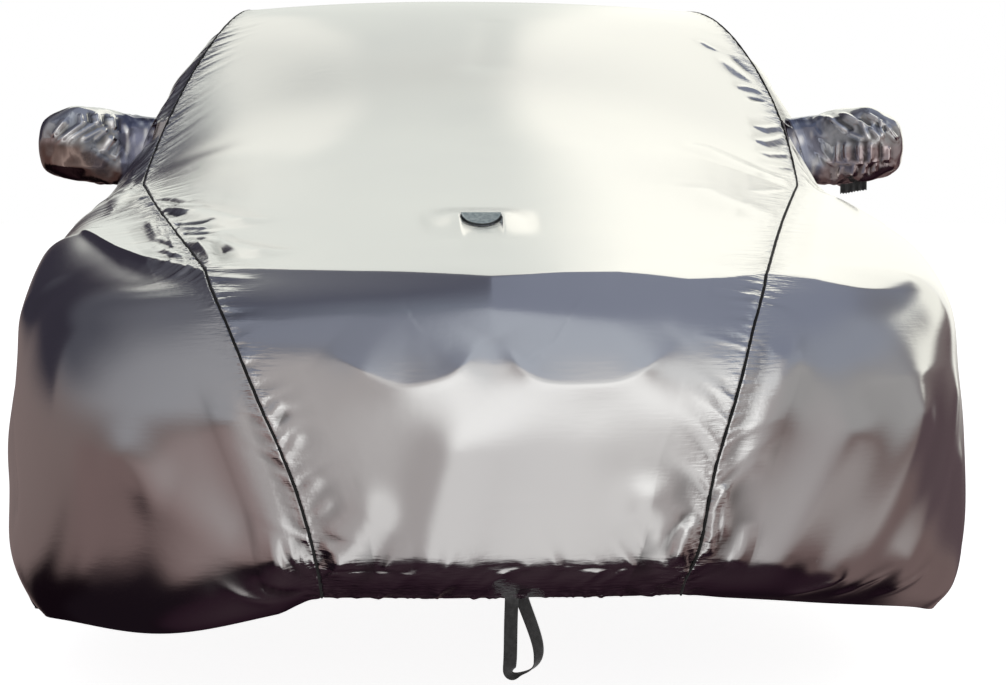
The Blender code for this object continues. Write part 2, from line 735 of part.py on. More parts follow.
def patch(collection):
    """A plain half-moon patch that lies on the front slope of the swelling."""
    grid, stations, across = middle_grid()
    crest = point_on(grid, stations, across, SWELLING_CREST, SWELLING_MIDDLE)
    foot = point_on(grid, stations, across, SWELLING_FOOT, SWELLING_MIDDLE)
    beside = point_on(grid, stations, across, SWELLING_CREST, MIDDLE_ACROSS_RIGHT[0])
    uphill = Vector(crest - foot).normalized()
    over = Vector(beside - crest)
    over = (over - uphill * over.dot(uphill)).normalized()
    up = over.cross(uphill)
    curve = bpy.data.curves.new("half_moon_patch", "CURVE")
    curve.dimensions = "2D"
    curve.fill_mode = "BOTH"
    curve.extrude = PATCH_THICKNESS / 2
    line = curve.splines.new("POLY")
    outline = patch_outline()
    line.points.add(len(outline) - 1)
    for point, (x, y) in zip(line.points, outline):
        point.co = (x, y, 0, 1)
    line.use_cyclic_u = True
    made = add_object("half_moon_patch", curve, "grey_patch", collection)
    place = Vector(crest) + up * (PATCH_THICKNESS / 2 + PATCH_LIFT) - uphill * PATCH_BELOW_CREST
    turn = Matrix((over, uphill, up)).transposed()
    made.matrix_world = Matrix.Translation(place) @ turn.to_4x4()
    return made


def strap(collection):
    """A loop of flat webbing, with both ends inside the front hem."""
    rows = np.array(STRAP_PATH)
    knots = np.arange(len(rows))
    places = np.linspace(0, len(rows) - 1, STRAP_STEPS * (len(rows) - 1) + 1)
    path = spline(knots, rows, places)
    turns = np.radians(path[:, 3])
    directions = np.gradient(path[:, :3], axis=0)
    directions /= np.linalg.norm(directions, axis=1, keepdims=True)
    across = np.column_stack([np.cos(turns), np.sin(turns), np.zeros(len(turns))])
    across -= directions * (across * directions).sum(axis=1, keepdims=True)
    across /= np.linalg.norm(across, axis=1, keepdims=True)
    centre = in_frame(path[:, :3])
    offsets = np.array([-0.5, 0, 0.5]) * STRAP_WIDTH
    grid = centre[:, None, :] + across[:, None, :] * offsets[None, :, None]
    mesh = grid_mesh("front_strap", grid, lambda c: (0, -1, 0))
    loop = add_object("front_strap", mesh, "black_webbing", collection)
    thicken(loop, STRAP_THICKNESS, offset=0)
    return loop


def main():
    clear_scene()
    parts = new_collection(COLLECTION)
    cutters = new_collection(CUTTER_COLLECTION)
    cutters.hide_render = True
    middle_panel(parts)
    for side in SIDES:
        side_panel(side, parts, hole_cutter(side, cutters))
        piping(side, parts)
        pocket(side, parts)
    pocket_tab(parts)
    patch(parts)
    strap(parts)


main()
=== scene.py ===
"""A fitted car cover of silver coated cloth, in the shape that it takes in use.

+Z is up. The front points to -Y, and left and right are those of the front view, -X and +X.
Places are given out from the middle line, back from a cross line that lies 2.3 m in front of the
roof's middle, and up from the ground. A station is a place along the cover: 0 the front hem, 1 the
lower lip, 4 the bonnet's leading edge, 10 the foot of the windscreen, 15 the middle of the roof, 20
the tail's edge and 24 the rear hem. Lengths in the tables are in millimetres, all others in metres.
"""

import math

import bpy
import numpy as np
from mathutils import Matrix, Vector, noise


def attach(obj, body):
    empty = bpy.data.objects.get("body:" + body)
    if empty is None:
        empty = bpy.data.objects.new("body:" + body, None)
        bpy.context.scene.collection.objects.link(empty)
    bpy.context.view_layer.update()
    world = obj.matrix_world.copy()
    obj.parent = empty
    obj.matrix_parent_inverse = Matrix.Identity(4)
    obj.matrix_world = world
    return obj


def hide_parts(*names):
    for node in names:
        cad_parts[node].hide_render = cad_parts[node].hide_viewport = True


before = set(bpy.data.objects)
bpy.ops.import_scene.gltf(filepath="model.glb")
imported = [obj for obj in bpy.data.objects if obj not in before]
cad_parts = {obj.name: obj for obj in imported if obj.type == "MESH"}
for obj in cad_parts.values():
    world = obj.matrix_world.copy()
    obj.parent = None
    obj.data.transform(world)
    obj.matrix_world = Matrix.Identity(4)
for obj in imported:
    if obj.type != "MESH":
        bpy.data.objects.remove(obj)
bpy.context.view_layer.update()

CLOTH = 0.0025
SIDES = {"left": -1, "right": 1}
ROOF_BACK = 2.3
ROOF_HEIGHT = 1.442
GROUND = -(ROOF_HEIGHT - CLOTH)

# The middle line: station, back, up
MIDDLE_LINE = (
    (0, -800, 238), (0.85, -862, 286), (1.15, -880, 312), (2, -905, 430), (3, -900, 560), (4, -850, 672),
    (5, -740, 742), (6, -500, 790), (7, -150, 852), (8, 250, 925), (9, 600, 1000), (10, 870, 1085),
    (12, 1360, 1285), (13, 1600, 1365), (14, 1900, 1420), (15, 2300, 1442), (16, 2720, 1410),
    (17, 3100, 1290), (18, 3430, 1145), (19, 3700, 1070), (20, 3890, 1025), (21, 3975, 880),
    (22, 4000, 620), (22.85, 3975, 380), (23.15, 3962, 350), (24, 3890, 285),
)
# The seams: station, out on the left, out on the right, back, up
SEAM_LINE = (
    (0, 288, 290, -785, 238), (0.85, 291, 296, -845, 286), (1.15, 295, 305, -862, 312),
    (2, 326, 326, -882, 430), (3, 381, 364, -870, 560), (4, 429, 399, -815, 665), (5, 470, 436, -705, 730),
    (6, 520, 487, -460, 772), (7, 598, 562, -110, 825), (8, 675, 648, 290, 868), (9, 735, 724, 650, 898),
    (10, 760, 762, 870, 926), (11, 745, 776, 1120, 1040), (12, 705, 760, 1400, 1188),
    (13, 650, 714, 1660, 1320), (14, 612, 672, 1940, 1394), (15, 600, 640, 2300, 1419),
    (16, 602, 625, 2680, 1382), (17, 635, 645, 3020, 1235), (18, 665, 668, 3340, 1070),
    (19, 650, 650, 3620, 1010), (20, 610, 610, 3830, 965), (21, 540, 540, 3920, 840),
    (22, 460, 460, 3955, 620), (23, 370, 370, 3930, 365), (24, 350, 350, 3860, 285),
)
# Lines along the side panels, from under the seam down to the hem: station, out, back, up
SIDE_LINES = {
    "rail": (
        (0, 460, -742, 226), (1, 480, -806, 290), (2, 515, -825, 430), (3, 550, -806, 558),
        (4, 575, -740, 655), (5, 602, -630, 718), (6, 655, -395, 760), (7, 708, -60, 808),
        (8, 764, 320, 848), (9, 802, 665, 878), (10, 817, 885, 899), (11, 817, 1130, 968),
        (12, 799, 1405, 1052), (13, 777, 1660, 1120), (15, 756, 2300, 1170), (17, 767, 3020, 1070),
        (18, 770, 3340, 990), (19, 750, 3610, 945), (20, 705, 3790, 900), (21, 650, 3870, 790),
        (22, 600, 3905, 600), (23, 530, 3880, 355), (24, 500, 3815, 275),
    ),
    "belt": (
        (0, 625, -655, 200), (1, 655, -708, 280), (2, 690, -712, 420), (3, 712, -680, 550),
        (4, 727, -608, 640), (5, 747, -495, 695), (6, 787, -270, 732), (7, 824, 20, 772),
        (8, 846, 370, 812), (9, 861, 700, 846), (10, 868, 910, 862), (12, 870, 1410, 895),
        (15, 868, 2300, 925), (17, 862, 3000, 915), (18, 850, 3310, 895), (19, 820, 3560, 860),
        (20, 775, 3700, 810), (21, 745, 3760, 720), (22, 725, 3780, 560), (23, 690, 3750, 340),
        (24, 660, 3700, 260),
    ),
    "side": (
        (0, 738, -545, 170), (1, 775, -570, 248), (2, 800, -535, 385), (3, 821, -465, 500),
        (4, 832, -390, 570), (5, 842, -290, 620), (6, 863, -115, 648), (7, 885, 110, 665),
        (8, 902, 420, 685), (9, 915, 720, 700), (12, 924, 1420, 725), (15, 926, 2300, 735),
        (17, 924, 2900, 720), (18, 912, 3170, 700), (19, 891, 3370, 670), (20, 865, 3500, 620),
        (21, 850, 3560, 560), (22, 835, 3590, 440), (23, 810, 3570, 310), (24, 780, 3540, 235),
    ),
    "sill": (
        (0, 785, -440, 148), (1, 824, -425, 200), (2, 860, -345, 275), (3, 878, -255, 335),
        (4, 895, -170, 375), (5, 904, -75, 405), (6, 909, 40, 420), (7, 912, 200, 420), (8, 914, 460, 420),
        (9, 915, 730, 420), (12, 918, 1430, 420), (15, 920, 2300, 420), (17, 936, 2820, 425),
        (18, 934, 3030, 410), (19, 922, 3190, 385), (20, 905, 3300, 350), (21, 893, 3360, 320),
        (22, 880, 3400, 280), (23, 865, 3410, 240), (24, 845, 3410, 205),
    ),
    "hem": (
        (0, 802, -345, 140), (1, 826, -290, 134), (2, 840, -215, 128), (3, 852, -145, 122),
        (4, 856, -75, 122), (5, 859, 0, 125), (6, 862, 90, 132), (7, 866, 230, 150), (8, 870, 470, 180),
        (9, 873, 740, 200), (12, 878, 1430, 210), (15, 880, 2300, 200), (17, 912, 2780, 155),
        (18, 918, 2950, 150), (19, 912, 3080, 155), (20, 900, 3180, 160), (21, 888, 3240, 165),
        (22, 878, 3280, 170), (23, 868, 3310, 175), (24, 855, 3340, 180),
    ),
}
CROWN_POWER = 2.2
SIDE_SPACING_POWER = 0.9
HEM_SAG = {"left": 0.05, "right": 0.008}
SAG_MIDDLE = 0.34
SAG_HALF_WIDTH = 0.3
SAG_STATIONS = 1.6
SAG_START = 0.1

# Soft folds: first station, first across, last station, last across, half width, height. In
# the middle panel across runs from -1 to 1, in a side panel from the seam at 0 to 1.
MIDDLE_FOLDS = (
    (11.2, 0.02, 12.6, 0.05, 50, -1.5), (7.6, -0.97, 6.9, -0.78, 40, 8), (6.4, -0.97, 5.9, -0.78, 40, 9),
    (7.2, 0.96, 7.9, 0.75, 40, 4), (9.1, 0.96, 9.6, 0.72, 50, 8), (1.1, 0.95, 1.8, 0.72, 40, 10),
    (1.1, -0.95, 1.7, -0.7, 40, 8), (2.33, -0.25, 1.33, -0.46, 34, 2.2),
    (2.35, -0.17, 1.25, -0.36, 75, 8.5), (2.9, 0.45, 1.9, 0.8, 60, -3), (16.6, -0.6, 18.4, -0.85, 80, 10),
    (16.8, 0.55, 18.2, 0.9, 80, 10), (21, 0.4, 22.6, 0.6, 70, -8),
)
SIDE_FOLDS = {
    "left": (
        (11.2, 0.06, 13.2, 0.06, 50, 14), (8.6, 0.05, 7.4, 0.38, 50, 10), (4.6, 0.62, 2.2, 0.7, 55, -10),
        (1.2, 0.08, 2.2, 0.26, 50, 10), (0.9, 0.42, 2, 0.3, 50, -2), (1.3, 0.046, 2.7, 0.05, 36, 5.5),
        (1.46, 0.125, 1.8, 0.2, 55, -7), (6.85, 0.29, 5.45, 0.4, 80, 22), (1.4, 0.8, 3.4, 0.86, 50, 6),
        (12.4, 0.12, 13.4, 0.42, 70, 10), (13.5, 0.8, 12.6, 0.55, 80, -10), (17.5, 0.4, 16.2, 0.72, 80, 12),
        (20.8, 0.35, 22.4, 0.6, 70, 10),
    ),
    "right": (
        (11.4, 0.07, 13.7, 0.06, 60, 36), (5, 0.3, 9.2, 0.33, 110, 30), (1.2, 0.16, 2.5, 0.2, 50, 10),
        (1, 0.3, 2.7, 0.33, 50, 12), (1.1, 0.46, 3, 0.46, 50, 10), (0.7, 0.72, 2.2, 0.56, 50, 10),
        (3.5, 0.058, 2.35, 0.052, 34, 7), (12.6, 0.1, 13.2, 0.45, 70, 12), (14.5, 0.78, 13.2, 0.5, 80, -10),
        (17.8, 0.42, 16.4, 0.7, 80, 12), (21, 0.4, 22.5, 0.62, 70, 10),
    ),
}
SEAM_REACH = 0.045  # folds and lifts fade out over these from the seam
SEAM_LIFT_REACH = 0.04
CREASE_START = 0.01
SEAM_DIP = 0.0015
SEAM_DIP_REACH = 0.004

# The swelling of the bonnet's cloth under the patch: stations, places across and height
SWELLING_START = 6.2
SWELLING_FOOT = 6.57
SWELLING_CREST = 6.71
SWELLING_REAR = 7.11
SWELLING_MIDDLE = 0.003
SWELLING_HALF = 0.069
SWELLING_EDGE = 0.2
SWELLING_HEIGHT = 0.015

# The half-moon patch, on the swelling's front slope. Its profile gives the share of the way out
# to the outline, and the height over the cloth as a share of the thickness.
PATCH_WIDTH = 0.074
PATCH_DEPTH = 0.046
PATCH_MIDDLE = 0.42  # as a share of the depth
PATCH_THICKNESS = 0.0018
PATCH_LIFT = 0.0005
PATCH_BELOW_CREST = 0.001
PATCH_PROFILE = (
    (0.985, -0.2), (1, 0.5), (0.99, 0.95), (0.955, 1.2), (0.915, 1.1), (0.885, 0.7), (0.84, 0.66),
    (0.5, 0.75), (0.1, 0.8),
)
RIM_START = 0.006  # down from the straight edge
RIM_TINTS = ((0.97, 0.16), (0.9, 1.15))  # share of the way out above which it is so tinted
PATCH_TINT = 0.9

PIPING_RADIUS = 0.0022
PIPING_SIDES = 12
PIPING_WOBBLE = 0.0007
PIPING_SWELL = 0.06

# Mirror pockets: (out, back, up, half depth, half height, lean), where lean is how far the ring
# steps out for each length up. The last row lies past the tip and turns the bag's end round.
POCKET_RINGS = (
    (780, 1140, 990, 60, 80, -0.35), (840, 1135, 992, 62, 82, -0.3), (868, 1118, 994, 67, 84, -0.25),
    (893, 1095, 998, 73, 88, -0.15), (930, 1068, 1004, 79, 89, 0), (972, 1055, 1005, 79, 84, 0),
    (1008, 1050, 1003, 68, 72, 0), (1030, 1050, 1001, 47, 50, 0), (1041, 1050, 1000, 0, 0, 0),
    (1030, 1050, 1001, -47, -50, 0),
)
POCKET_SQUARENESS = 2.5
POCKET_RIPPLE = {"left": 0.003, "right": 0.005}
POCKET_REACH = {"left": -0.006, "right": 0.013}
RIPPLES_ROUND = 5
FIRST_RIPPLED_RING = 2
POCKET_TWIST = 2.1
# Creases on the front of the bags: out, up, out, up, half width, height
POCKET_CREASES = {
    "left": (
        (992, 1017, 961, 1060, 6, 4.5), (980, 1005, 916, 1057, 4.5, 4), (957, 1008, 893, 1055, 4.5, 3.5),
        (928, 1010, 881, 1041, 4.5, 3.5), (900, 1012, 871, 1041, 4, 3), (886, 982, 858, 1024, 8, 5),
        (862, 965, 838, 1001, 7, 4.5), (842, 941, 830, 989, 6, 4), (835, 953, 775, 1036, 14, -8),
        (818, 965, 803, 1031, 5, 4), (990, 955, 870, 945, 12, 3), (930, 1075, 925, 1050, 4, 3),
        (912, 1080, 905, 1052, 4, -3), (896, 1078, 890, 1048, 4, 3.5), (878, 1076, 872, 1045, 4.5, -3),
        (862, 1072, 858, 1038, 4, 3.5), (845, 1070, 842, 1030, 5, -3.5), (826, 1068, 826, 1025, 4.5, 4),
        (808, 1066, 812, 1030, 4.5, -3.5),
    ),
    "right": (
        (859, 1086, 912, 1033, 4.5, 4), (912, 1033, 949, 1014, 4, 3), (900, 1081, 961, 1043, 4.5, 4.5),
        (961, 1043, 985, 1014, 4, 3.5), (956, 1079, 997, 1050, 4.5, 4.5), (997, 1050, 1029, 1014, 4.5, 3.5),
        (941, 1067, 956, 1014, 4, 3.5), (985, 1062, 990, 1019, 4, 3), (804, 1021, 889, 954, 5, 5),
        (784, 1002, 877, 918, 6, 5), (827, 1062, 864, 1014, 8, 4), (885, 1066, 925, 1036, 8, -4),
        (935, 1065, 965, 1050, 8, -4), (975, 1060, 1000, 1035, 8, -4), (893, 1012, 895, 960, 4.5, 3),
        (912, 1012, 916, 962, 7, 4.5), (938, 1010, 940, 962, 5, 4), (962, 1010, 964, 962, 5, 4),
        (984, 1008, 986, 960, 4, -4), (1004, 1000, 1004, 960, 4.5, 3.5), (905, 955, 903, 925, 4, 2.5),
        (930, 957, 928, 927, 4, 2.5), (955, 960, 952, 930, 4, 2.5), (978, 962, 976, 935, 4, 2.5),
        (889, 962, 950, 959, 5, 2.4), (950, 959, 1010, 973, 5, 2),
    ),
}
POCKET_CREASE_SCALE = 1.9
POCKET_FRONT = 1.07  # the creases are on the cloth in front of this
# Crumples all over, waves, and deeper crumples on the rear side: height, how many in a metre
POCKET_CRUMPLES = (0.0007, 20)
POCKET_WAVES = (0.0014, 14)
POCKET_REAR_CRUMPLES = (0.0025, 24)
POCKET_SEEDS = {"left": 31, "right": 47}
# The undersides look at the ground and get a painted browner reflection of it and painted shade: out, up of
# the painted shade's upper edge
UNDERSIDE_EDGE = ((0.84, 0.935), (0.9, 0.985), (0.95, 1.006))
UNDERSIDE_PAINTED_SHADE = {"left": (0.46, 0.34, 0.3), "right": (0.78, 0.66, 0.66)}
# The cloth beside a neck is slack; on the bag it gets painted shade there: out, colour of the painted shade
NECK_PAINTED_SHADE = {"left": (0.85, (0.24, 0.25, 0.34)), "right": (0.864, (0.42, 0.45, 0.56))}
NECK_EDGE = 0.007
# Uneven edges of both painted shades, and lit spots by the neck that its painted shade leaves out: how far,
# how many in a metre
UNDERSIDE_WAVES = (0.006, 60)
NECK_WAVES = (0.008, 45)
NECK_SPOTS = 75
POCKET_ROUND = 240
POCKET_ALONG = 130
POCKET_START = 0.25
POCKET_CLOTH = 0.0015

TAB_ENDS = (0.905, 0.97)
TAB_BACK = 1.062
TAB_DROP = 0.023
TAB_THICKNESS = 0.0025
TAB_WAVE = 0.003
TAB_WAVES = 4
TAB_GAP = 0.0009
TAB_FRAY = 0.0012
TAB_FRAYS = 900  # radians in a metre

# The webbing loop at the front hem: (out, back, up, turn), down the first leg, across and up
# the second one. Turn is the angle in degrees from +X to the webbing's width.
STRAP_WIDTH = 0.022
STRAP_THICKNESS = 0.002
STRAP_PATH = (
    (17, -822, 266.5, 0), (16, -800, 244.5, 0), (16, -786, 224, 0), (15, -784, 185, 0), (14, -784, 135, 4),
    (13, -780, 116, 25), (20, -770, 107.5, 58), (38, -758, 107.5, 74), (55, -750, 116, 62),
    (62, -749, 135, 40), (57, -752, 165, 30), (42, -762, 208, 24), (31, -771, 238, 12), (27, -790, 252, 4),
    (24, -812, 270, 0),
)
STRAP_STEPS = 10

# Creases along curved lines: power, half width, height, share of the length over which it
# rises from its ends, and the places (station, across) that it passes. The power is 1 for a
# sharp edge and 2 for a round one.
MIDDLE_CREASES = (
    (1, 40, 8.5, 0.25, ((3.7, -0.66), (3.42, -0.56), (3.2, -0.41), (3.23, -0.28),
        (3.4, -0.15), (3.9, -0.03))),
    (1, 36, 8, 0.25, ((3.85, 0.02), (3.45, 0.09), (3.24, 0.2), (3.22, 0.38), (3.32, 0.55), (3.8, 0.72))),
    (1.5, 10, 4, 0.15, ((11.06, 0.998), (10.95, 0.96), (10.8, 0.905))),
    (1.5, 10, 4, 0.15, ((10.86, 0.998), (10.7, 0.955), (10.48, 0.89))),
    (1.5, 7, 2.8, 0.15, ((10.5, 0.998), (10.38, 0.95), (10.22, 0.895))),
    (1.5, 6, 2.4, 0.15, ((10.2, 0.998), (10.04, 0.95), (9.86, 0.895))),
    (1.5, 7, 3, 0.15, ((8.62, 0.998), (8.4, 0.95), (8.12, 0.895))),
    (1.3, 12, 3.8, 0.4, ((12.2, 0.87), (12.02, 0.9), (11.87, 0.93), (11.78, 0.965))),
    (1.3, 7, -2.6, 0.4, ((12.35, 0.92), (12.12, 0.945), (11.95, 0.975))),
    (1.3, 10, 4.5, 0.4, ((11.55, 0.885), (11.64, 0.93), (11.62, 0.985))),
    (1.3, 6, -3.4, 0.4, ((11.36, 0.9), (11.44, 0.94), (11.46, 0.985))),
    (1.3, 7, 2.2, 0.4, ((12.6, 0.83), (12.44, 0.86), (12.36, 0.9))),
    (1.5, 9, -5, 0.15, ((8.12, -0.995), (7.95, -0.96), (7.72, -0.922))),
    (1.5, 10, -5.5, 0.15, ((7.84, -0.998), (7.66, -0.95), (7.42, -0.88))),
    (1.5, 7, 5, 0.15, ((7.52, -0.998), (7.4, -0.96), (7.26, -0.925))),
    (1.5, 6, -3.5, 0.15, ((7.38, -0.998), (7.3, -0.975), (7.23, -0.95))),
    (1.5, 9, -5.5, 0.15, ((7.02, -0.995), (6.98, -0.94), (6.96, -0.88))),
    (1.5, 7, 5, 0.15, ((6.86, -0.995), (6.8, -0.94), (6.76, -0.895))),
    (1.5, 9, -6, 0.15, ((6.72, -0.995), (6.68, -0.94), (6.66, -0.885))),
    (1.4, 9, -6.5, 0.15, ((6.56, -0.995), (6.48, -0.95), (6.26, -0.905), (5.86, -0.915))),
    (1.2, 8, 8, 0.3, ((6.42, -0.99), (6.2, -0.968), (5.9, -0.96), (5.45, -0.97))),
    (1.3, 6, 2.2, 0.5, ((2.4, -0.985), (2.5, -0.93), (2.64, -0.87))),
    (1.3, 5, 2, 0.5, ((2.88, -0.985), (2.95, -0.94), (3.03, -0.895))),
    (1.3, 5, -2.8, 0.4, ((2.72, -0.985), (2.8, -0.94), (2.92, -0.89))),
    (1.3, 6, 2.2, 0.5, ((1.95, -0.985), (2.02, -0.93), (2.12, -0.86))),
    (1.3, 6, 2.4, 0.5, ((1.68, -0.985), (1.75, -0.92), (1.92, -0.82))),
    (1.3, 5, 2.6, 0.5, ((1.43, -0.97), (1.28, -0.91), (1.18, -0.86))),
    (1.3, 5, -2.4, 0.5, ((1.5, -0.94), (1.42, -0.86), (1.46, -0.8))),
    (1.3, 5, 2.6, 0.5, ((1.22, -0.95), (1.14, -0.875), (1.17, -0.81))),
    (1.3, 16, 7, 0.3, ((1.68, 0.975), (1.5, 0.925), (1.3, 0.895), (1.06, 0.89))),
    (1.3, 7, -5, 0.3, ((1.72, 0.96), (1.62, 0.885), (1.43, 0.835), (1.12, 0.835))),
)
SIDE_CREASES = {
    "left": (
        (1.4, 6, 2.8, 0.2, ((10.7, 0.022), (10.35, 0.068), (9.4, 0.1))),
        (1.4, 6, 3, 0.2, ((10.5, 0.01), (10.1, 0.055), (8.9, 0.105))),
        (1.4, 6, 2.8, 0.2, ((10.2, 0.006), (9.8, 0.045), (8.28, 0.107))),
        (1.4, 7, 2.5, 0.2, ((9.6, 0.01), (8.9, 0.05), (8, 0.115))),
        (1.4, 8, 2.5, 0.2, ((9.1, 0.01), (8.45, 0.058), (7.8, 0.125))),
        (1.3, 4, 2.8, 0.2, ((7.25, 0.034), (6.6, 0.044), (6, 0.058))),
        (1.3, 4, 3, 0.2, ((7.15, 0.018), (6.6, 0.03), (6, 0.044))),
        (1.3, 4, 3, 0.2, ((6.95, 0.008), (6.4, 0.02), (5.95, 0.032))),
        (1.3, 5, -4, 0.3, ((6.55, 0.05), (6.3, 0.03), (6.15, 0.012))),
        (1.3, 5, 4, 0.3, ((6.2, 0.048), (6, 0.03), (5.9, 0.01))),
        (1.3, 5, -3.5, 0.3, ((6.02, 0.048), (5.86, 0.03), (5.8, 0.01))),
        (1.3, 4, 3, 0.3, ((5.66, 0.05), (5.7, 0.03), (5.72, 0.01))),
        (1.3, 4, 3, 0.3, ((5.36, 0.05), (5.42, 0.03), (5.5, 0.01))),
        (1.3, 5, 2.8, 0.4, ((1.55, 0.055), (1.18, 0.056), (0.78, 0.035))),
        (1.3, 5, -3, 0.4, ((1.52, 0.041), (1.2, 0.043), (0.82, 0.027))),
        (1.3, 4, 2.8, 0.4, ((1.5, 0.029), (1.2, 0.031), (0.8, 0.018))),
        (1.3, 4, 2.5, 0.4, ((1.43, 0.014), (1.15, 0.016), (0.75, 0.008))),
        (1.3, 6, 2.6, 0.5, ((1.12, 0.095), (0.85, 0.083), (0.48, 0.043))),
        (1.3, 7, -3.6, 0.4, ((0.95, 0.12), (0.66, 0.08), (0.3, 0.02))),
        (1.3, 8, 2.8, 0.5, ((0.95, 0.19), (0.62, 0.14), (0.3, 0.07))),
    ),
    "right": (
        (1.4, 7, -4, 0.2, ((10.85, 0.01), (10.73, 0.055), (10.35, 0.095))),
        (1.4, 7, -4, 0.2, ((10.45, 0.006), (10.45, 0.05), (9.9, 0.108))),
        (1.4, 7, -3.5, 0.2, ((10.1, 0.006), (10.1, 0.05), (9.1, 0.11))),
        (1, 50, 6, 0.5, ((3.18, 0.19), (3.25, 0.263), (3.33, 0.307), (3.62, 0.4))),
        (1.3, 7, 6, 0.2, ((1.1, 0.016), (1.6, 0.01), (1.93, 0.014), (1.7, 0.024), (1.33, 0.036))),
        (1.3, 8, 5, 0.3, ((0.95, 0.06), (1.25, 0.075), (1.6, 0.07))),
        (1.3, 8, 3.6, 0.4, ((0.9, 0.33), (0.55, 0.27), (0.25, 0.22))),
        (1.3, 8, 3.6, 0.4, ((0.95, 0.45), (0.6, 0.39), (0.25, 0.33))),
        (1.3, 8, 3.6, 0.4, ((1, 0.57), (0.6, 0.52), (0.25, 0.45))),
    ),
}
CREASE_ROUNDING = 0.004
CREASE_STEPS = 6  # pieces of the curve between two places
CREASE_FOOT = -0.1  # where the rise starts, as a share of the rising part
ROUND_POWER = 1.5
ROUND_REACH = 3  # in half widths
SHARP_REACH = 5
POCKET_CREASE_ROUNDING = 0.001
POCKET_CREASE_POWER = 1.3
POCKET_CREASE_ENDS = (-0.1, 0.25)
POCKET_FRONT_EDGE = 0.02

# The edge over which the cloth turns down at the front of the bonnet: across, station, height
BONNET_EDGE = {
    "middle": (
        (-1, 5.29, 16), (-0.84, 5.29, 16), (-0.67, 5.19, 16), (-0.49, 5.11, 16), (-0.32, 5.06, 16),
        (-0.14, 4.98, 16), (0, 4.91, 16), (0.14, 4.96, 16), (0.25, 5.02, 16), (0.46, 5.06, 16),
        (0.58, 5, 16), (0.72, 4.9, 16), (0.84, 4.97, 16), (1, 5.14, 16),
    ),
    "left": (
        (0, 5.29, 16), (0.02, 5.48, 16), (0.04, 5.62, 16), (0.08, 5.92, 15), (0.122, 6.36, 13),
        (0.157, 6.85, 9), (0.21, 7.4, 0),
    ),
    "right": (
        (0, 5.14, 16), (0.042, 5.14, 16), (0.072, 5.09, 16), (0.096, 5.03, 15), (0.145, 4.95, 12),
        (0.24, 4.9, 7), (0.33, 4.85, 0),
    ),
}
EDGE_REACH_FRONT = 0.06
EDGE_REACH_REAR = 0.2
EDGE_ROUNDING = 0.005

# Puckers along the seams: station, spacing, length, height, slant towards the rear for each
# metre away from the seam. They are read between these stations.
PUCKERS = {
    ("left", "inner"): (
        (0.9, 22, 34, 2.4, 0.9), (2.2, 24, 40, 2.6, 0.8), (3, 21, 34, 3, 0.4), (5.2, 21, 36, 3.6, 0),
        (5.7, 20, 30, 1.5, 0.2), (7.6, 22, 36, 1.6, 0.3), (8.6, 22, 40, 2, 0.3), (10, 20, 45, 2, 0.8),
        (12, 22, 50, 2.2, 0.9), (14, 24, 40, 2, 0.5), (24, 30, 40, 1.6, 0),
    ),
    ("left", "outer"): (
        (0.9, 18, 40, 2.6, 0.8), (2.4, 16, 34, 1.8, 0.6), (3.4, 15, 24, 1, 0.2), (5, 14, 28, 1, -0.4),
        (5.6, 12, 60, 2.4, -1.2), (6.4, 14, 60, 3, -0.6), (8, 14, 70, 2.8, -0.8), (10, 16, 80, 2.2, -1.2),
        (12, 22, 60, 2.2, -1), (14, 26, 40, 1.8, 0), (24, 30, 40, 1.6, 0),
    ),
    ("right", "inner"): (
        (0.9, 22, 40, 2.4, 0.8), (2.2, 18, 34, 2.2, 0.8), (3.6, 16, 32, 2, 0.5), (4.8, 12, 30, 1.8, 0),
        (5.4, 12, 30, 1, 0), (7.6, 11, 30, 0.9, 0), (8.8, 14, 34, 1.2, 0), (9.8, 22, 32, 1.4, -0.8),
        (10.4, 22, 32, 1.4, -0.8), (11.2, 24, 34, 1.8, -0.6), (11.7, 26, 26, 1.2, 0), (14, 30, 26, 1, 0),
        (24, 30, 40, 1.6, 0),
    ),
    ("right", "outer"): (
        (0.9, 24, 40, 1.8, 0.9), (2.4, 22, 36, 2, 1), (3.4, 20, 36, 1.8, -0.6), (4.6, 18, 26, 1, -0.4),
        (8.4, 24, 30, 0.6, 0), (9.6, 30, 60, 1.6, 0.3), (11.6, 30, 50, 2, 0.3), (24, 30, 40, 1.6, 0),
    ),
}
# Each pucker differs by chance
PUCKER_WIDTH = 0.3  # half width as a share of the spacing
PUCKER_WIDTHS = (0.7, 0.6)  # least, range
PUCKER_LENGTHS = (0.45, 1.1, 1.5)  # least, range, power
PUCKER_SIZES = (0.35, 1.1)
PUCKER_REACH = 3  # in lengths
PUCKER_SHIFT = 0.7
PUCKER_LEAN = 0.5
PUCKER_SPREAD = 0.8  # how much wider it is at its own length
HOLLOW_PUCKERS = (0.25, -0.6)  # their share, their height
PUCKER_POWERS = (1.7, 1.6)  # across, along

# Puckers above and below the lower lip; across, and then the same columns
LIP_STATION = 1
LIP_SEEDS = {"above": 71, "below": 72}
LIP_PUCKERS = {
    "above": (
        (-1, 16, 45, 3, 0.8), (-0.7, 26, 40, 2, 0.6), (0, 34, 30, 1.4, -0.3), (0.6, 26, 34, 1.8, -0.8),
        (1, 16, 45, 3, -0.8),
    ),
    "below": (
        (-1, 40, 60, 1.8, -0.7), (1, 40, 60, 1.8, -0.7),
    ),
}
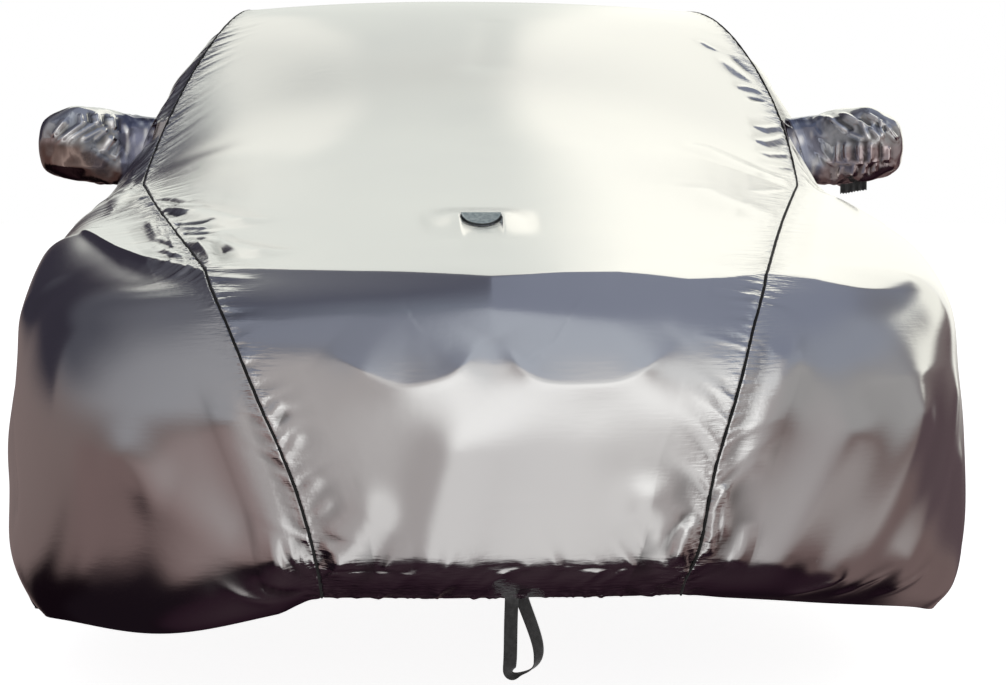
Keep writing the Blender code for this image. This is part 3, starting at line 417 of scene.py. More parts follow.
# Gathers of the hem, with the same columns; in the middle panel the places run from -1 to 1
HEM_GATHERS = {
    "middle": (
        (-1, 13, 20, 2.2, 0.3), (0, 12, 18, 2.2, 0), (1, 13, 20, 2.2, -0.3),
    ),
    "side": (
        (0, 13, 22, 2.2, 0.4), (9, 14, 22, 2.2, 0), (12, 24, 30, 2.2, 0), (24, 24, 30, 2.2, 0),
    ),
}
HEM_FOLDS = {
    "middle": (
        (-1, 34, 60, 3, 0.5), (0, 40, 50, 2, 0.3), (1, 34, 60, 3, -0.5),
    ),
    "side": (
        (0, 34, 70, 3.4, 0.5), (9, 50, 80, 3, 0.2), (12, 60, 80, 3, 0), (24, 60, 80, 3, 0),
    ),
}
HEM_RADIUS = 0.0022
HEM_TURNS = (45, 90, 135, 180)  # degrees round the turned edge
HEM_INSIDE = (0.004, 0.008, 0.012, 0.015)  # up the inside

# The lattice: rows are this far apart along a seam: station, step
ROW_STEPS = ((0, 3), (10.8, 3.2), (11.6, 4.5), (14, 7), (16, 12), (24, 12))
STRIP_COLUMNS = (0, 2.5, 5, 7.5, 10.5, 13.5, 17, 20.5, 24.5, 29, 34, 40, 47, 55, 65, 77, 90)
MIDDLE_BLOCKS = 84
SIDE_BLOCKS = 88
BLOCK = 4
SHARP_BEND = 0.0001
SOFT_BEND = 0.00004
FRONT_ROWS = 2.2  # stations before this have all their rows
FRONT_HEM = 0.9
REAR_HEM = 23.2
NECK_FINE = 0.03
NECK_OPEN = -0.004  # the cloth starts so far inside the neck
HEM_FINE = 0.05
PANEL_GAP = 0.0012  # from the seam's line to the edge of the cloth
PANEL_EDGE = 0.0033  # from the seam's line to where across starts
RIB_STEPS = 241
SEAM_STEPS = 4801

# How far round a point its hollow is read, in lattice points, and the depth of a full hollow.
# Shade is painted into the hollows and a highlight onto the crests: so much of the colour is taken off in a
# full hollow, or put on at a crest.
HOLLOW_REACH = 5
HOLLOW_DEPTH = 0.0022
HOLLOW_SHADE = 0.5
POCKET_HOLLOW_SHADE = 0.72
POCKET_CREST_LIGHT = 0.2

# Fine creases in the material: everywhere, at the seam, the hem, the patch and the neck
SLACK_BASE = 0.03
SLACK_SEAM = 0.022
SLACK_HEM = (0.8, 0.05)  # how much, over what length
SLACK_PATCH = (0.5, 0.25, 0.11)  # how much, stations, across
SLACK_NECK = (0.7, 0.05)
SLACK_POCKET = 0.12
NECK_RISE = (0.006, 0.014)  # the cloth stands up round the neck: height, length

CAMERA_PLACE = (-0.143, -4.27, 0.88)  # out, back and up
CAMERA_DOWN = 3.83
CAMERA_RIGHT = 2.39
CAMERA_LENS = 78.4


def in_metres(table, lengths=slice(None)):
    """The table as an array, its columns of millimetres turned into metres."""
    rows = np.array(table, float)
    rows[:, lengths] /= 1000
    return rows


def unit(vectors):
    return vectors / np.linalg.norm(vectors, axis=-1, keepdims=True)


def spline(knots, values, places):
    """The natural cubic spline through the values at the knots, read at these places."""
    knots = np.asarray(knots, float)
    values = np.asarray(values, float)
    places = np.asarray(places, float)
    last = len(knots) - 1
    steps = np.diff(knots)
    system = np.zeros((last + 1, last + 1))
    wanted = np.zeros_like(values)
    system[0, 0] = 1
    system[last, last] = 1
    for i in range(1, last):
        system[i, i - 1 : i + 2] = steps[i - 1], 2 * (steps[i - 1] + steps[i]), steps[i]
        slopes = np.diff(values[i - 1 : i + 2], axis=0) / steps[i - 1 : i + 1, None]
        wanted[i] = 6 * (slopes[1] - slopes[0])
    bends = np.linalg.solve(system, wanted)
    cell = np.clip(np.searchsorted(knots, places, side="right") - 1, 0, last - 1)
    step = steps[cell][:, None]
    done = (places - knots[cell])[:, None] / step
    left = 1 - done
    straight = values[cell] * left + values[cell + 1] * done
    bend = bends[cell] * (left**3 - left) + bends[cell + 1] * (done**3 - done)
    return straight + bend * step**2 / 6


def smooth_step(low, high, value):
    share = np.clip((value - low) / (high - low), 0, 1)
    return share * share * (3 - 2 * share)


def in_frame(points):
    return np.asarray(points, float) - (0, ROOF_BACK, ROOF_HEIGHT - CLOTH)


def line_at(table, columns, stations, side):
    """The places of a table's columns out, back and up, read at these stations."""
    rows = in_metres(table, slice(1, None))
    points = spline(rows[:, 0], rows[:, columns], stations)
    points[:, 0] *= SIDES[side]
    return points


def seam_line(stations, side):
    return line_at(SEAM_LINE, [1 if side == "left" else 2, 3, 4], stations, side)


def lengths_along(points, axis=0):
    """The length of the line of points up to each one."""
    steps = np.linalg.norm(np.diff(points, axis=axis), axis=-1)
    start = np.zeros_like(np.take(steps, [0], axis=axis))
    return np.concatenate([start, np.cumsum(steps, axis=axis)], axis=axis)


class MiddleRibs:
    """The ribs of the middle panel, from the left seam to the right one."""

    def __init__(self, stations):
        rows = in_metres(MIDDLE_LINE, slice(1, None))
        line = spline(rows[:, 0], rows[:, 1:], stations)
        self.middle = np.column_stack([np.zeros(len(line)), line])[:, None, :]
        self.ends = {side: seam_line(stations, side)[:, None, :] for side in SIDES}
        self.shares = np.tile(np.linspace(-1, 1, RIB_STEPS), (len(stations), 1))
        self.arcs = lengths_along(self.at(self.shares), axis=1)

    def at(self, shares):
        share = shares[:, :, None]
        end = np.where(share < 0, self.ends["left"], self.ends["right"])
        points = self.middle + (end - self.middle) * np.abs(share) ** CROWN_POWER
        points[:, :, 0] = (end * np.abs(share))[:, :, 0]
        return in_frame(points)


class SideRibs:
    """The ribs of a side panel, from the seam to the hem."""

    def __init__(self, stations, side):
        lines = [seam_line(stations, side)]
        lines += [line_at(table, [1, 2, 3], stations, side) for table in SIDE_LINES.values()]
        self.knots = np.stack(lines, axis=1)
        steps = np.linalg.norm(np.diff(self.knots, axis=1), axis=2) ** SIDE_SPACING_POWER
        places = np.concatenate([np.zeros((len(steps), 1)), np.cumsum(steps, axis=1)], axis=1)
        self.places = places / places[:, -1:]
        self.sag = HEM_SAG[side] * (1 - smooth_step(0, SAG_STATIONS, stations))[:, None]
        self.shares = np.tile(np.linspace(0, 1, RIB_STEPS), (len(stations), 1))
        self.arcs = lengths_along(self.at(self.shares), axis=1)

    def at(self, shares):
        points = np.array([spline(*rib) for rib in zip(self.places, self.knots, shares)])
        hump = np.exp(-(((shares - SAG_MIDDLE) / SAG_HALF_WIDTH) ** 2))
        points[:, :, 2] -= self.sag * hump * smooth_step(0, SAG_START, shares)
        return in_frame(points)


def seam_sides(line):
    """Unit vectors across a seam's line and up from it."""
    steps = unit(np.gradient(line, axis=0))
    out = unit(np.cross(steps, (0, 0, 1.0)))
    return out, np.cross(out, steps)


class Panel:
    """One panel as a lattice of points, with the distances that its folds are placed by."""

    def __init__(self, name, stations):
        self.name = name
        self.stations = stations
        self.is_middle = name == "middle"
        ribs = MiddleRibs(stations) if self.is_middle else SideRibs(stations, name)
        seams, blocks = (2, MIDDLE_BLOCKS) if self.is_middle else (1, SIDE_BLOCKS)
        strip = np.array(STRIP_COLUMNS) / 1000
        length = self.length = ribs.arcs[:, -1:]
        shares = np.linspace(0, 1, BLOCK * blocks + 1)
        inner = strip[-1] + (length - seams * strip[-1]) * shares
        columns = [np.tile(strip[:-1], (len(stations), 1)), inner]
        if self.is_middle:
            columns.append(length - strip[-2::-1])
        self.away = PANEL_GAP + np.hstack(columns) * (length - seams * PANEL_GAP) / length
        rows = zip(self.away, ribs.arcs, ribs.shares)
        self.base = ribs.at(np.array([np.interp(*row) for row in rows]))
        self.across = (self.away - PANEL_EDGE) / (length - seams * PANEL_EDGE)
        self.near_seam = self.away
        if self.is_middle:
            self.across = 2 * self.across - 1
            self.near_seam = np.minimum(self.away, length - self.away)
        self.along = lengths_along(self.base)
        self.normals = self.find_normals()
        self.heights = np.zeros(self.base.shape[:2])
        self.lift_ways = self.normals.copy()
        for side in SIDES if self.is_middle else (name,):
            up = seam_sides(in_frame(seam_line(stations, side)))[1][:, None, :]
            share = 1 - smooth_step(0, SEAM_LIFT_REACH, self.to_seam(side))[:, :, None]
            self.lift_ways += (up - self.lift_ways) * share

    def find_normals(self):
        normals = unit(np.cross(np.gradient(self.base, axis=0), np.gradient(self.base, axis=1)))
        side = SIDES.get(self.name)
        outwards = (side, 0, 0.3) if side else self.base - self.base.mean(axis=(0, 1))
        return normals * np.sign((normals * outwards).sum(axis=2, keepdims=True).mean())

    def row(self, station):
        """The row at this station, with a fraction."""
        return np.interp(station, self.stations, np.arange(len(self.stations)))

    def point(self, station, across, folded=False):
        """The point at this station and this place across, of the base or of the folded cloth."""
        row = self.row(station)
        low = min(int(row), len(self.stations) - 2)
        ends = []
        for i in (low, low + 1):
            line = self.place(i) if folded else self.base[i]
            ends.append([np.interp(across, self.across[i], line[:, k]) for k in range(3)])
        ends = np.array(ends)
        return ends[0] + (ends[1] - ends[0]) * (row - low)

    def folds(self, table):
        """The heights of straight round folds."""
        rows = [(2, width, height, 0, ((s, a), (t, b))) for s, a, t, b, width, height in table]
        return self.creases(rows, 0)

    def creases(self, table, rounding=CREASE_ROUNDING):
        """The heights of creases along curved lines."""
        heights = np.zeros(self.base.shape[:2])
        for power, half_width, height, taper, places in table:
            half_width = half_width / 1000
            knots = np.array([self.point(*place) for place in places])
            steps = np.linspace(0, len(knots) - 1, CREASE_STEPS * (len(knots) - 1) + 1)
            line = spline(np.arange(len(knots)), knots, steps)
            arcs = lengths_along(line)
            reach = half_width * (SHARP_REACH if power < ROUND_POWER else ROUND_REACH)
            low = line.min(axis=0) - reach
            high = line.max(axis=0) + reach
            near = ((self.base > low) & (self.base < high)).all(axis=2)
            points = self.base[near]
            nearest = np.full(len(points), np.inf)
            share = np.zeros(len(points))
            for start, end, arc, next_arc in zip(line, line[1:], arcs, arcs[1:]):
                step = end - start
                held = np.clip((points - start) @ step / (step @ step), 0, 1)
                away = ((points - start - held[:, None] * step) ** 2).sum(axis=1)
                closer = away < nearest
                nearest[closer] = away[closer]
                share[closer] = (arc + held[closer] * (next_arc - arc)) / arcs[-1]
            away = np.sqrt(nearest + rounding**2) - rounding
            rise = height / 1000 * np.exp(-((away / half_width) ** power))
            if taper:
                rise *= smooth_step(CREASE_FOOT * taper, taper, share)
                rise *= smooth_step(CREASE_FOOT * taper, taper, 1 - share)
            heights[near] += rise
        return heights

    def to_seam(self, side):
        return self.length - self.away if self.is_middle and side == "right" else self.away

    def place(self, rows=slice(None)):
        points = self.base[rows] + self.normals[rows] * self.heights[rows][..., None]
        return points + self.lift_ways[rows] * self.lift[rows][..., None]


def seam_stations():
    """Rows of the lattices, in blocks, at the spacing that the table wants."""
    fine = np.linspace(0, 24, SEAM_STEPS)
    arc = 0.5 * sum(lengths_along(seam_line(fine, side)) for side in SIDES)
    step = np.interp(fine, *in_metres(ROW_STEPS, 1).T)
    count = np.concatenate([[0], np.cumsum(np.diff(arc) / step[1:])])
    blocks = int(math.ceil(count[-1] / BLOCK))
    return np.interp(np.linspace(0, count[-1], BLOCK * blocks + 1), count, fine)


def refined_faces(row_cuts, column_cuts, left_out=None):
    """Faces over blocks of the lattice, each cut into its own number of rows and columns.

    A face takes in the corners that its finer neighbours have on its edges.
    """
    used = np.zeros([BLOCK * count + 1 for count in row_cuts.shape], bool)
    leaves = []
    for (i, j), cuts in np.ndenumerate(row_cuts):
        down, over = BLOCK // cuts, BLOCK // column_cuts[i, j]
        top, start = BLOCK * i, BLOCK * j
        used[top : top + BLOCK + 1 : down, start : start + BLOCK + 1 : over] = True
        for a in range(top, top + BLOCK, down):
            leaves += [(a, b, down, over) for b in range(start, start + BLOCK, over)]
    number = (np.cumsum(used) - 1).reshape(used.shape).tolist()
    is_used = used.tolist()
    faces = []
    for a, b, down, over in leaves:
        if left_out is not None and left_out[a : a + down + 1, b : b + over + 1].all():
            continue
        c, d = a + down, b + over
        ring = [(a, k) for k in range(b, d)] + [(k, d) for k in range(a, c)]
        ring += [(c, k) for k in range(d, b, -1)] + [(k, b) for k in range(c, a, -1)]
        faces.append([number[i][j] for i, j in ring if is_used[i][j]])
    return used, faces


def ridges(places, arc, away, table, seed):
    """Small ridges that start at an edge and die out away from it, each a little different.

    Each line of the lattice has its place in the table and its length along the edge, and away
    is how far its points are from that edge.
    """
    rows = in_metres(table, slice(1, 4)).T
    spacing, length, height, slant = (np.interp(places, rows[0], column) for column in rows[1:])
    phase = np.concatenate([[0], np.cumsum(np.diff(arc) / spacing[1:])])
    chance = np.random.default_rng(seed).random((int(phase[-1]) + 8, 6))
    near = away < PUCKER_REACH * length[:, None]
    row = np.nonzero(near)[0]
    t = np.maximum(away[near], 0)
    x = phase[row] - slant[row] * t / spacing[row]
    heights = np.zeros(len(t))
    for step in range(-2, 3):  # the nearest five reach this far
        k = np.floor(x).astype(int) + step
        pick = chance[np.clip(k, 0, len(chance) - 1)].T
        centre = k + 0.5 + PUCKER_SHIFT * (pick[0] - 0.5)
        least, more, power = PUCKER_LENGTHS
        own_length = length[row] * (least + more * pick[1] ** power)
        least, more = PUCKER_WIDTHS
        width = PUCKER_WIDTH * (least + more * pick[2]) * (1 + PUCKER_SPREAD * t / own_length)
        lean = PUCKER_LEAN * (pick[3] - 0.5) * t / spacing[row]
        off = np.abs(x - lean - centre) / width
        least, more = PUCKER_SIZES
        share, depth = HOLLOW_PUCKERS
        size = (least + more * pick[4]) * np.where(pick[5] < share, depth, 1)
        fade = np.exp(-((t / own_length) ** PUCKER_POWERS[1])) * smooth_step(0, 0.004, t + 0.001)
        heights += size * np.exp(-(off ** PUCKER_POWERS[0])) * fade
    found = np.zeros(away.shape)
    found[near] = heights * height[row]
    return found


def hem_heights(panel, seed):
    """The gathers of the elastic hem and the folds that rise from it."""
    heights = np.zeros(panel.base.shape[:2])
    for k, tables in enumerate((HEM_GATHERS, HEM_FOLDS)):
        if panel.is_middle:
            for end, away in ((0, panel.along), (-1, panel.along[-1:] - panel.along)):
                arc = lengths_along(panel.base[end])
                seeds = seed + 2 * k - end
                heights += ridges(panel.across[end], arc, away.T, tables["middle"], seeds).T
        else:
            arc = lengths_along(panel.base[:, -1])
            away = panel.length - panel.away
            heights += ridges(panel.stations, arc, away, tables["side"], seed + k)
    return heights


def swelling_heights(panel):
    """A low swelling with a steeper half-moon in its front slope."""
    stations = panel.stations[:, None]
    off = np.abs(panel.across - SWELLING_MIDDLE)
    moon = np.sqrt(np.clip(1 - (off / SWELLING_HALF) ** 2, 0, 1))
    run = np.maximum((SWELLING_CREST - SWELLING_FOOT) * moon, 0.001)
    steep = np.clip((stations - SWELLING_CREST + run) / run, 0, 1)
    gentle = smooth_step(SWELLING_START, SWELLING_CREST, stations)
    fall = 1 - smooth_step(SWELLING_CREST, SWELLING_REAR, stations)
    level = 1 - smooth_step(SWELLING_HALF, SWELLING_EDGE, off)
    return SWELLING_HEIGHT * (moon * steep + (1 - moon) * gentle) * fall * level


def hollows(heights):
    """From -1 on a crest to 1 in a full hollow, against the heights all round."""
    level = heights
    steps = range(2 * HOLLOW_REACH + 1)
    for axis in (0, 1):
        margins = [(HOLLOW_REACH, HOLLOW_REACH) if k == axis else (0, 0) for k in (0, 1)]
        wide = np.pad(level, margins, mode="edge")
        count = level.shape[axis]
        level = sum(np.take(wide, range(k, k + count), axis) for k in steps) / len(steps)
    return np.clip((level - heights) / HOLLOW_DEPTH, -1, 1)


def new_mesh(name, points, faces, material, uv, slack=None, tint_and_painted_light=None):
    """An object with its cloth's coordinates, its slackness, and shares of its colour: painted shade and
    highlight on the coated cloth, the patch's own colours on the patch.
    """
    mesh = bpy.data.meshes.new(name)
    mesh.from_pydata(np.asarray(points).tolist(), [], faces)
    mesh.shade_smooth()
    corner_points = np.empty(len(mesh.loops), np.int32)
    mesh.loops.foreach_get("vertex_index", corner_points)
    layer = mesh.uv_layers.new(name="cloth")
    layer.data.foreach_set("uv", np.asarray(uv, np.float32)[corner_points].ravel())
    if slack is not None:
        values = mesh.attributes.new("slack", "FLOAT", "POINT")
        values.data.foreach_set("value", np.asarray(slack, np.float32))
    if tint_and_painted_light is not None:
        count = len(mesh.vertices)
        rows = np.column_stack([np.broadcast_to(tint_and_painted_light, (count, 3)), np.ones(count)])
        colours = mesh.attributes.new("tint_and_painted_light", "FLOAT_COLOR", "POINT")
        colours.data.foreach_set("color", rows.astype(np.float32).ravel())
    mesh.materials.append(material)
    obj = bpy.data.objects.new(name, mesh)
    bpy.context.scene.collection.objects.link(obj)
    return obj


def facing(faces, points, k, way):
    """The faces, all turned round if face k looks against this way."""
    a, b, c = points[list(faces[k][:3])]
    return [face[::-1] for face in faces] if np.cross(b - a, c - a) @ way < 0 else faces


def edge_shape(over):
    """From 1 on the bonnet's edge to 0 away from it, on its rear side where over is above 0."""
    reach = np.where(over > 0, EDGE_REACH_REAR, EDGE_REACH_FRONT)
    away = np.sqrt(over**2 + EDGE_ROUNDING**2) - EDGE_ROUNDING
    return np.exp(-away / reach)


def bonnet_edge_heights(panel):
    """A soft edge across the bonnet, steeper on its front side than on its rear one."""
    rows = in_metres(BONNET_EDGE[panel.name], 2).T
    across = panel.across[int(panel.row(rows[1, 0]))]
    edge, height = (np.interp(across, rows[0], column) for column in rows[1:])
    start = [np.interp(s, panel.stations, panel.along[:, j]) for j, s in enumerate(edge)]
    return height * edge_shape(panel.along - np.array(start))


def seam_lift(stations, side):
    """How far the bonnet's edge lifts the seam itself, and the way that it goes."""
    _, station, height = BONNET_EDGE["middle"][0 if side == "left" else -1]
    line = in_frame(seam_line(stations, side))
    arc = lengths_along(line)
    over = arc - np.interp(station, stations, arc)
    return (height / 1000 * edge_shape(over))[:, None] * seam_sides(line)[1]


def lip_heights(panel):
    """The fine puckers that rise from the lower lip, and the folds of the apron under it."""
    row = int(panel.row(LIP_STATION))
    over = panel.along - panel.along[row]
    arc = lengths_along(panel.base[row])
    heights = np.zeros(over.shape)
    for sign, name in ((1, "above"), (-1, "below")):
        away = sign * over
        table, seed = LIP_PUCKERS[name], LIP_SEEDS[name]
        found = ridges(panel.across[row], arc, np.abs(over).T, table, seed).T
        heights += np.where(away > 0, found * smooth_step(0, 0.006, away), 0)
    return heights * smooth_step(0, 0.02, panel.near_seam)


def turned_edge(edge, before, normal):
    """Lines of points round a turned hem and up its inside, from the cloth's last line."""
    down = unit(edge - before)
    turns = np.radians(HEM_TURNS)
    lines = [edge + HEM_RADIUS * (np.sin(t) * down - (1 - np.cos(t)) * normal) for t in turns]
    return lines + [edge - 2 * HEM_RADIUS * normal - up * down for up in HEM_INSIDE]


def widened(table, lines, axis, at_start=False):
    """The table with as many more lines at one end, each a copy of its last line."""
    last = np.take(table, [0 if at_start else -1], axis=axis)
    extra = np.repeat(last, lines, axis=axis)
    return np.concatenate([extra, table] if at_start else [table, extra], axis=axis)


def lattice_object(name, panel, cuts, material, left_out=None):
    """The folded panel as a mesh, with its hem turned up inside."""
    points = panel.place()
    run = np.repeat(panel.along[:, :1], points.shape[1], axis=1)
    tables = [panel.normals, run, panel.near_seam, panel.slack, hollows(panel.heights)]
    turned = len(HEM_TURNS) + len(HEM_INSIDE)
    cut_lines = turned // BLOCK
    axis = 0 if panel.is_middle else 1
    for at_start in (True, False) if panel.is_middle else (False,):
        last, before = (0, 2) if at_start else (-1, -3)
        lines = [np.take(table, k, axis) for table, k in ((points, last), (points, before))]
        hem = np.stack(turned_edge(*lines, np.take(tables[0], last, axis)), axis=axis)
        both = [np.flip(hem, axis), points] if at_start else [points, hem]
        points = np.concatenate(both, axis=axis)
        tables = [widened(table, turned, axis, at_start) for table in tables]
        cuts = [widened(table, cut_lines, axis, at_start) for table in cuts]
        ends = slice(0, cut_lines) if at_start else slice(-cut_lines, None)
        cuts[axis][(slice(None),) * axis + (ends,)] = BLOCK
    if left_out is not None:
        left_out = widened(left_out, turned, axis)
    used, faces = refined_faces(*cuts, left_out)
    normals, run, away, slack, deep = (table[used] for table in tables)
    points = points[used]
    k = len(faces) // 2
    faces = facing(faces, points, k, normals[faces[k][0]])
    # Painted shade: the colour is darker in the hollows of the folds and puckers
    tint_and_painted_light = 1 - HOLLOW_SHADE * np.maximum(deep, 0)[:, None]
    return new_mesh(name, points, faces, material, np.column_stack([away, run]), slack, tint_and_painted_light)


def band(sections):
    """Faces round a tube whose sections have the same number of points."""
    count, sides = sections.shape[:2]
    faces = []
    for i in range(0, (count - 1) * sides, sides):
        for j in range(sides):
            k = (j + 1) % sides
            faces.append((i + j, i + k, i + sides + k, i + sides + j))
    return faces


def tube_uv(sections):
    around = lengths_along(np.concatenate([sections, sections[:, :1]], axis=1), axis=1)[:, :-1]
    run = np.repeat(lengths_along(sections[:, 0])[:, None], sections.shape[1], axis=1)
    return np.column_stack([around.ravel(), run.ravel()])


def tube_object(name, sections, material, tint_and_painted_light=None):
    """A tube with closed ends."""
    count, sides = sections.shape[:2]
    faces = band(sections)
    faces.append(tuple(range(sides))[::-1])
    faces.append(tuple((count - 1) * sides + j for j in range(sides)))
    points = sections.reshape(-1, 3)
    faces = facing(faces, points, 0, points[0] - sections[0].mean(axis=0))
    return new_mesh(name, points, faces, material, tube_uv(sections), tint_and_painted_light=tint_and_painted_light)


def noise_at(points, scale, seed):
    """Smooth noise from about -1 to 1 at each point."""
    shift = Vector((3.1 * seed, 1.7 * seed, -2.3 * seed))
    return np.array([noise.noise(Vector(point) * scale + shift) for point in points.tolist()])


def creased(points, scale, seed):
    """Noise with sharp ridges, like cloth that was crumpled."""
    total = np.zeros(len(points))
    for level, finer in enumerate((1, 1.9)):
        total += (1 - 2 * np.abs(noise_at(points, scale * finer, seed + level))) / finer
    return total


def piping(side, stations, material):
    line = (in_frame(seam_line(stations, side)) + seam_lift(stations, side))[::2]
    out, up = seam_sides(line)
    wobble = out * noise_at(line, 40, 5)[:, None] + up * noise_at(line, 40, 9)[:, None]
    line = line + PIPING_WOBBLE * wobble
    turns = np.linspace(0, 2 * math.pi, PIPING_SIDES, endpoint=False)[None, :, None]
    radius = PIPING_RADIUS * (1 + PIPING_SWELL * noise_at(line, 150, 13))[:, None, None]
    ring = radius * (np.cos(turns) * out[:, None, :] + np.sin(turns) * up[:, None, :])
    return tube_object(f"seam_piping_{side}", line[:, None, :] + ring, material)


def pocket_table():
    return in_metres(POCKET_RINGS, slice(0, 5))


def pocket_rings(side):
    rows = pocket_table()
    rows[:, 0] += POCKET_REACH[side]
    count = len(rows)
    places = np.linspace(POCKET_START, count - 2, POCKET_ALONG)
    out, back, up, half_depth, half_height, lean = spline(range(count), rows, places).T[:, :, None]
    turns = np.linspace(0, 2 * math.pi, POCKET_ROUND, endpoint=False)[None, :]
    ways = (np.cos(turns), np.sin(turns))
    depth, height = (np.sign(way) * np.abs(way) ** (2 / POCKET_SQUARENESS) for way in ways)
    swing = np.cos(POCKET_TWIST * places) * smooth_step(1, FIRST_RIPPLED_RING, places)
    swing *= 1 - smooth_step(count - 4, count - 2, places)
    swell = POCKET_RIPPLE[side] * swing[:, None] * np.cos(RIPPLES_ROUND * turns)
    z = (half_height + swell) * height
    points = [SIDES[side] * (out + lean * z), back + (half_depth + swell) * depth, up + z]
    return in_frame(np.stack(points, axis=2)), places


def ring_normals(rings):
    """Outward normals of a grid of rings."""
    round_step = np.roll(rings, -1, axis=1) - np.roll(rings, 1, axis=1)
    normals = unit(np.cross(np.gradient(rings, axis=0), round_step))
    from_centre = rings - rings.mean(axis=1, keepdims=True)
    return normals * np.sign((normals * from_centre)[len(rings) // 2].sum())


def pocket_creases(points, side):
    """The heights of the creases on the front of a bag, for points in the frame."""
    out = np.abs(points[:, 0])
    up = points[:, 2] - GROUND
    heights = np.zeros(len(points))
    for out_a, up_a, out_b, up_b, half_width, height in in_metres(POCKET_CREASES[side]):
        step = np.array([out_b - out_a, up_b - up_a])
        share = ((out - out_a) * step[0] + (up - up_a) * step[1]) / (step @ step)
        held = np.clip(share, 0, 1)
        away = np.hypot(out - out_a - held * step[0], up - up_a - held * step[1])
        away = np.hypot(away, POCKET_CREASE_ROUNDING) - POCKET_CREASE_ROUNDING
        rise = height * np.exp(-((away / half_width) ** POCKET_CREASE_POWER))
        for share in (held, 1 - held):
            rise *= smooth_step(*POCKET_CREASE_ENDS, share)
        heights += rise
    back = points[:, 1] + ROOF_BACK - POCKET_FRONT
    return heights * (1 - smooth_step(-POCKET_FRONT_EDGE, POCKET_FRONT_EDGE, back))


def pocket_painted_light(points, heights, side):
    """Painted shade in the hollows, a painted highlight on the crests, a painted browner reflection of the
    ground with painted shade on the underside, and painted shade by the neck.
    """
    seed = POCKET_SEEDS[side]
    out = np.abs(points[:, 0])
    # Painted shade in the hollows and a painted highlight on the crests
    deep = hollows(heights).reshape(-1, 1)
    tint_and_painted_light = 1 - POCKET_HOLLOW_SHADE * np.maximum(deep, 0)
    tint_and_painted_light += POCKET_CREST_LIGHT * np.maximum(-deep, 0)
    # The underside: a painted browner reflection of the ground and painted shade
    edge = np.interp(out, *np.transpose(UNDERSIDE_EDGE)) + GROUND
    size, count = UNDERSIDE_WAVES
    edge += size * noise_at(points, count, seed + 3)
    under = smooth_step(0.01, -0.014, points[:, 2] - edge)
    # Painted shade by the neck, with lit spots left out of it
    neck, colour = NECK_PAINTED_SHADE[side]
    size, count = NECK_WAVES
    uneven = out + size * noise_at(points, count, seed + 4)
    inner = smooth_step(neck + NECK_EDGE, neck - NECK_EDGE, uneven)
    lit = 0.5 + 0.5 * noise_at(points * (1, 1, 0.35), NECK_SPOTS, seed + 6)
    inner = inner * smooth_step(0.95, 0.45, lit)
    for share, full in ((under, UNDERSIDE_PAINTED_SHADE[side]), (inner, colour)):
        tint_and_painted_light = tint_and_painted_light * (1 - share[:, None] * (1 - np.array(full)))
    return tint_and_painted_light


def pocket(side, material):
    rings, places = pocket_rings(side)
    rings, places = rings[:-1], places[:-1]
    flat = rings.reshape(-1, 3)
    seed = POCKET_SEEDS[side]
    height, count = POCKET_CRUMPLES
    heights = height * creased(flat, count, seed)
    height, count = POCKET_WAVES
    heights += height * noise_at(flat, count, seed + 5)
    rear = smooth_step(-0.02, 0.05, flat[:, 1] + ROOF_BACK - POCKET_FRONT)
    height, count = POCKET_REAR_CRUMPLES
    heights += height * rear * creased(flat, count, seed + 9)
    heights += POCKET_CREASE_SCALE * pocket_creases(flat, side)
    grown = smooth_step(0.4, 1.2, places) * (1 - 0.7 * smooth_step(7, 7.9, places))
    heights = heights.reshape(rings.shape[:2]) * grown[:, None]
    tint_and_painted_light = pocket_painted_light(flat, heights, side)
    rings = rings + ring_normals(rings) * heights[..., None]
    points = np.vstack([rings.reshape(-1, 3), rings[-1].mean(axis=0)])
    count, sides = rings.shape[:2]
    last = (count - 1) * sides
    faces = band(rings)
    faces += [(last + j, last + (j + 1) % sides, len(points) - 1) for j in range(sides)]
    k = len(faces) // 2
    faces = facing(faces, points, k, points[faces[k][0]] - rings[count // 2].mean(axis=0))
    uv = np.vstack([tube_uv(rings), (0, 0.3)])
    slack = np.full(len(points), SLACK_POCKET)
    tint_and_painted_light = np.vstack([tint_and_painted_light, tint_and_painted_light[-1]])
    bag = new_mesh(f"mirror_bag_{side}", points, faces, material, uv, slack, tint_and_painted_light)
    shell = bag.modifiers.new("Cloth", "SOLIDIFY")
    shell.thickness = POCKET_CLOTH
    shell.offset = -1
    bag.visible_glossy = False  # the satin cloth shows no image of it
    return bag


def strap(material):
    """A flat ribbon with rounded edges along the loop's path."""
    rows = in_metres(STRAP_PATH, slice(0, 3))
    places = np.linspace(0, len(rows) - 1, STRAP_STEPS * (len(rows) - 1) + 1)
    path = spline(range(len(rows)), rows, places)
    turns = np.radians(path[:, 3])
    ways = unit(np.gradient(path[:, :3], axis=0))
    across = np.column_stack([np.cos(turns), np.sin(turns), np.zeros(len(turns))])
    across = unit(across - ways * (across * ways).sum(axis=1, keepdims=True))
    normal = np.cross(ways, across)
    offsets = np.linspace(-0.5, 0.5, 9)
    thin = 0.5 * np.sqrt(np.clip(1 - (2 * np.abs(offsets)) ** 8, 0.04, 1))
    over = np.concatenate([offsets, offsets[::-1]])[None, :, None]
    deep = np.concatenate([thin, -thin[::-1]])[None, :, None]
    sections = in_frame(path[:, None, :3]) + over * STRAP_WIDTH * across[:, None, :]
    sections = sections + deep * STRAP_THICKNESS * normal[:, None, :]
    return tube_object("webbing_loop", sections, material)


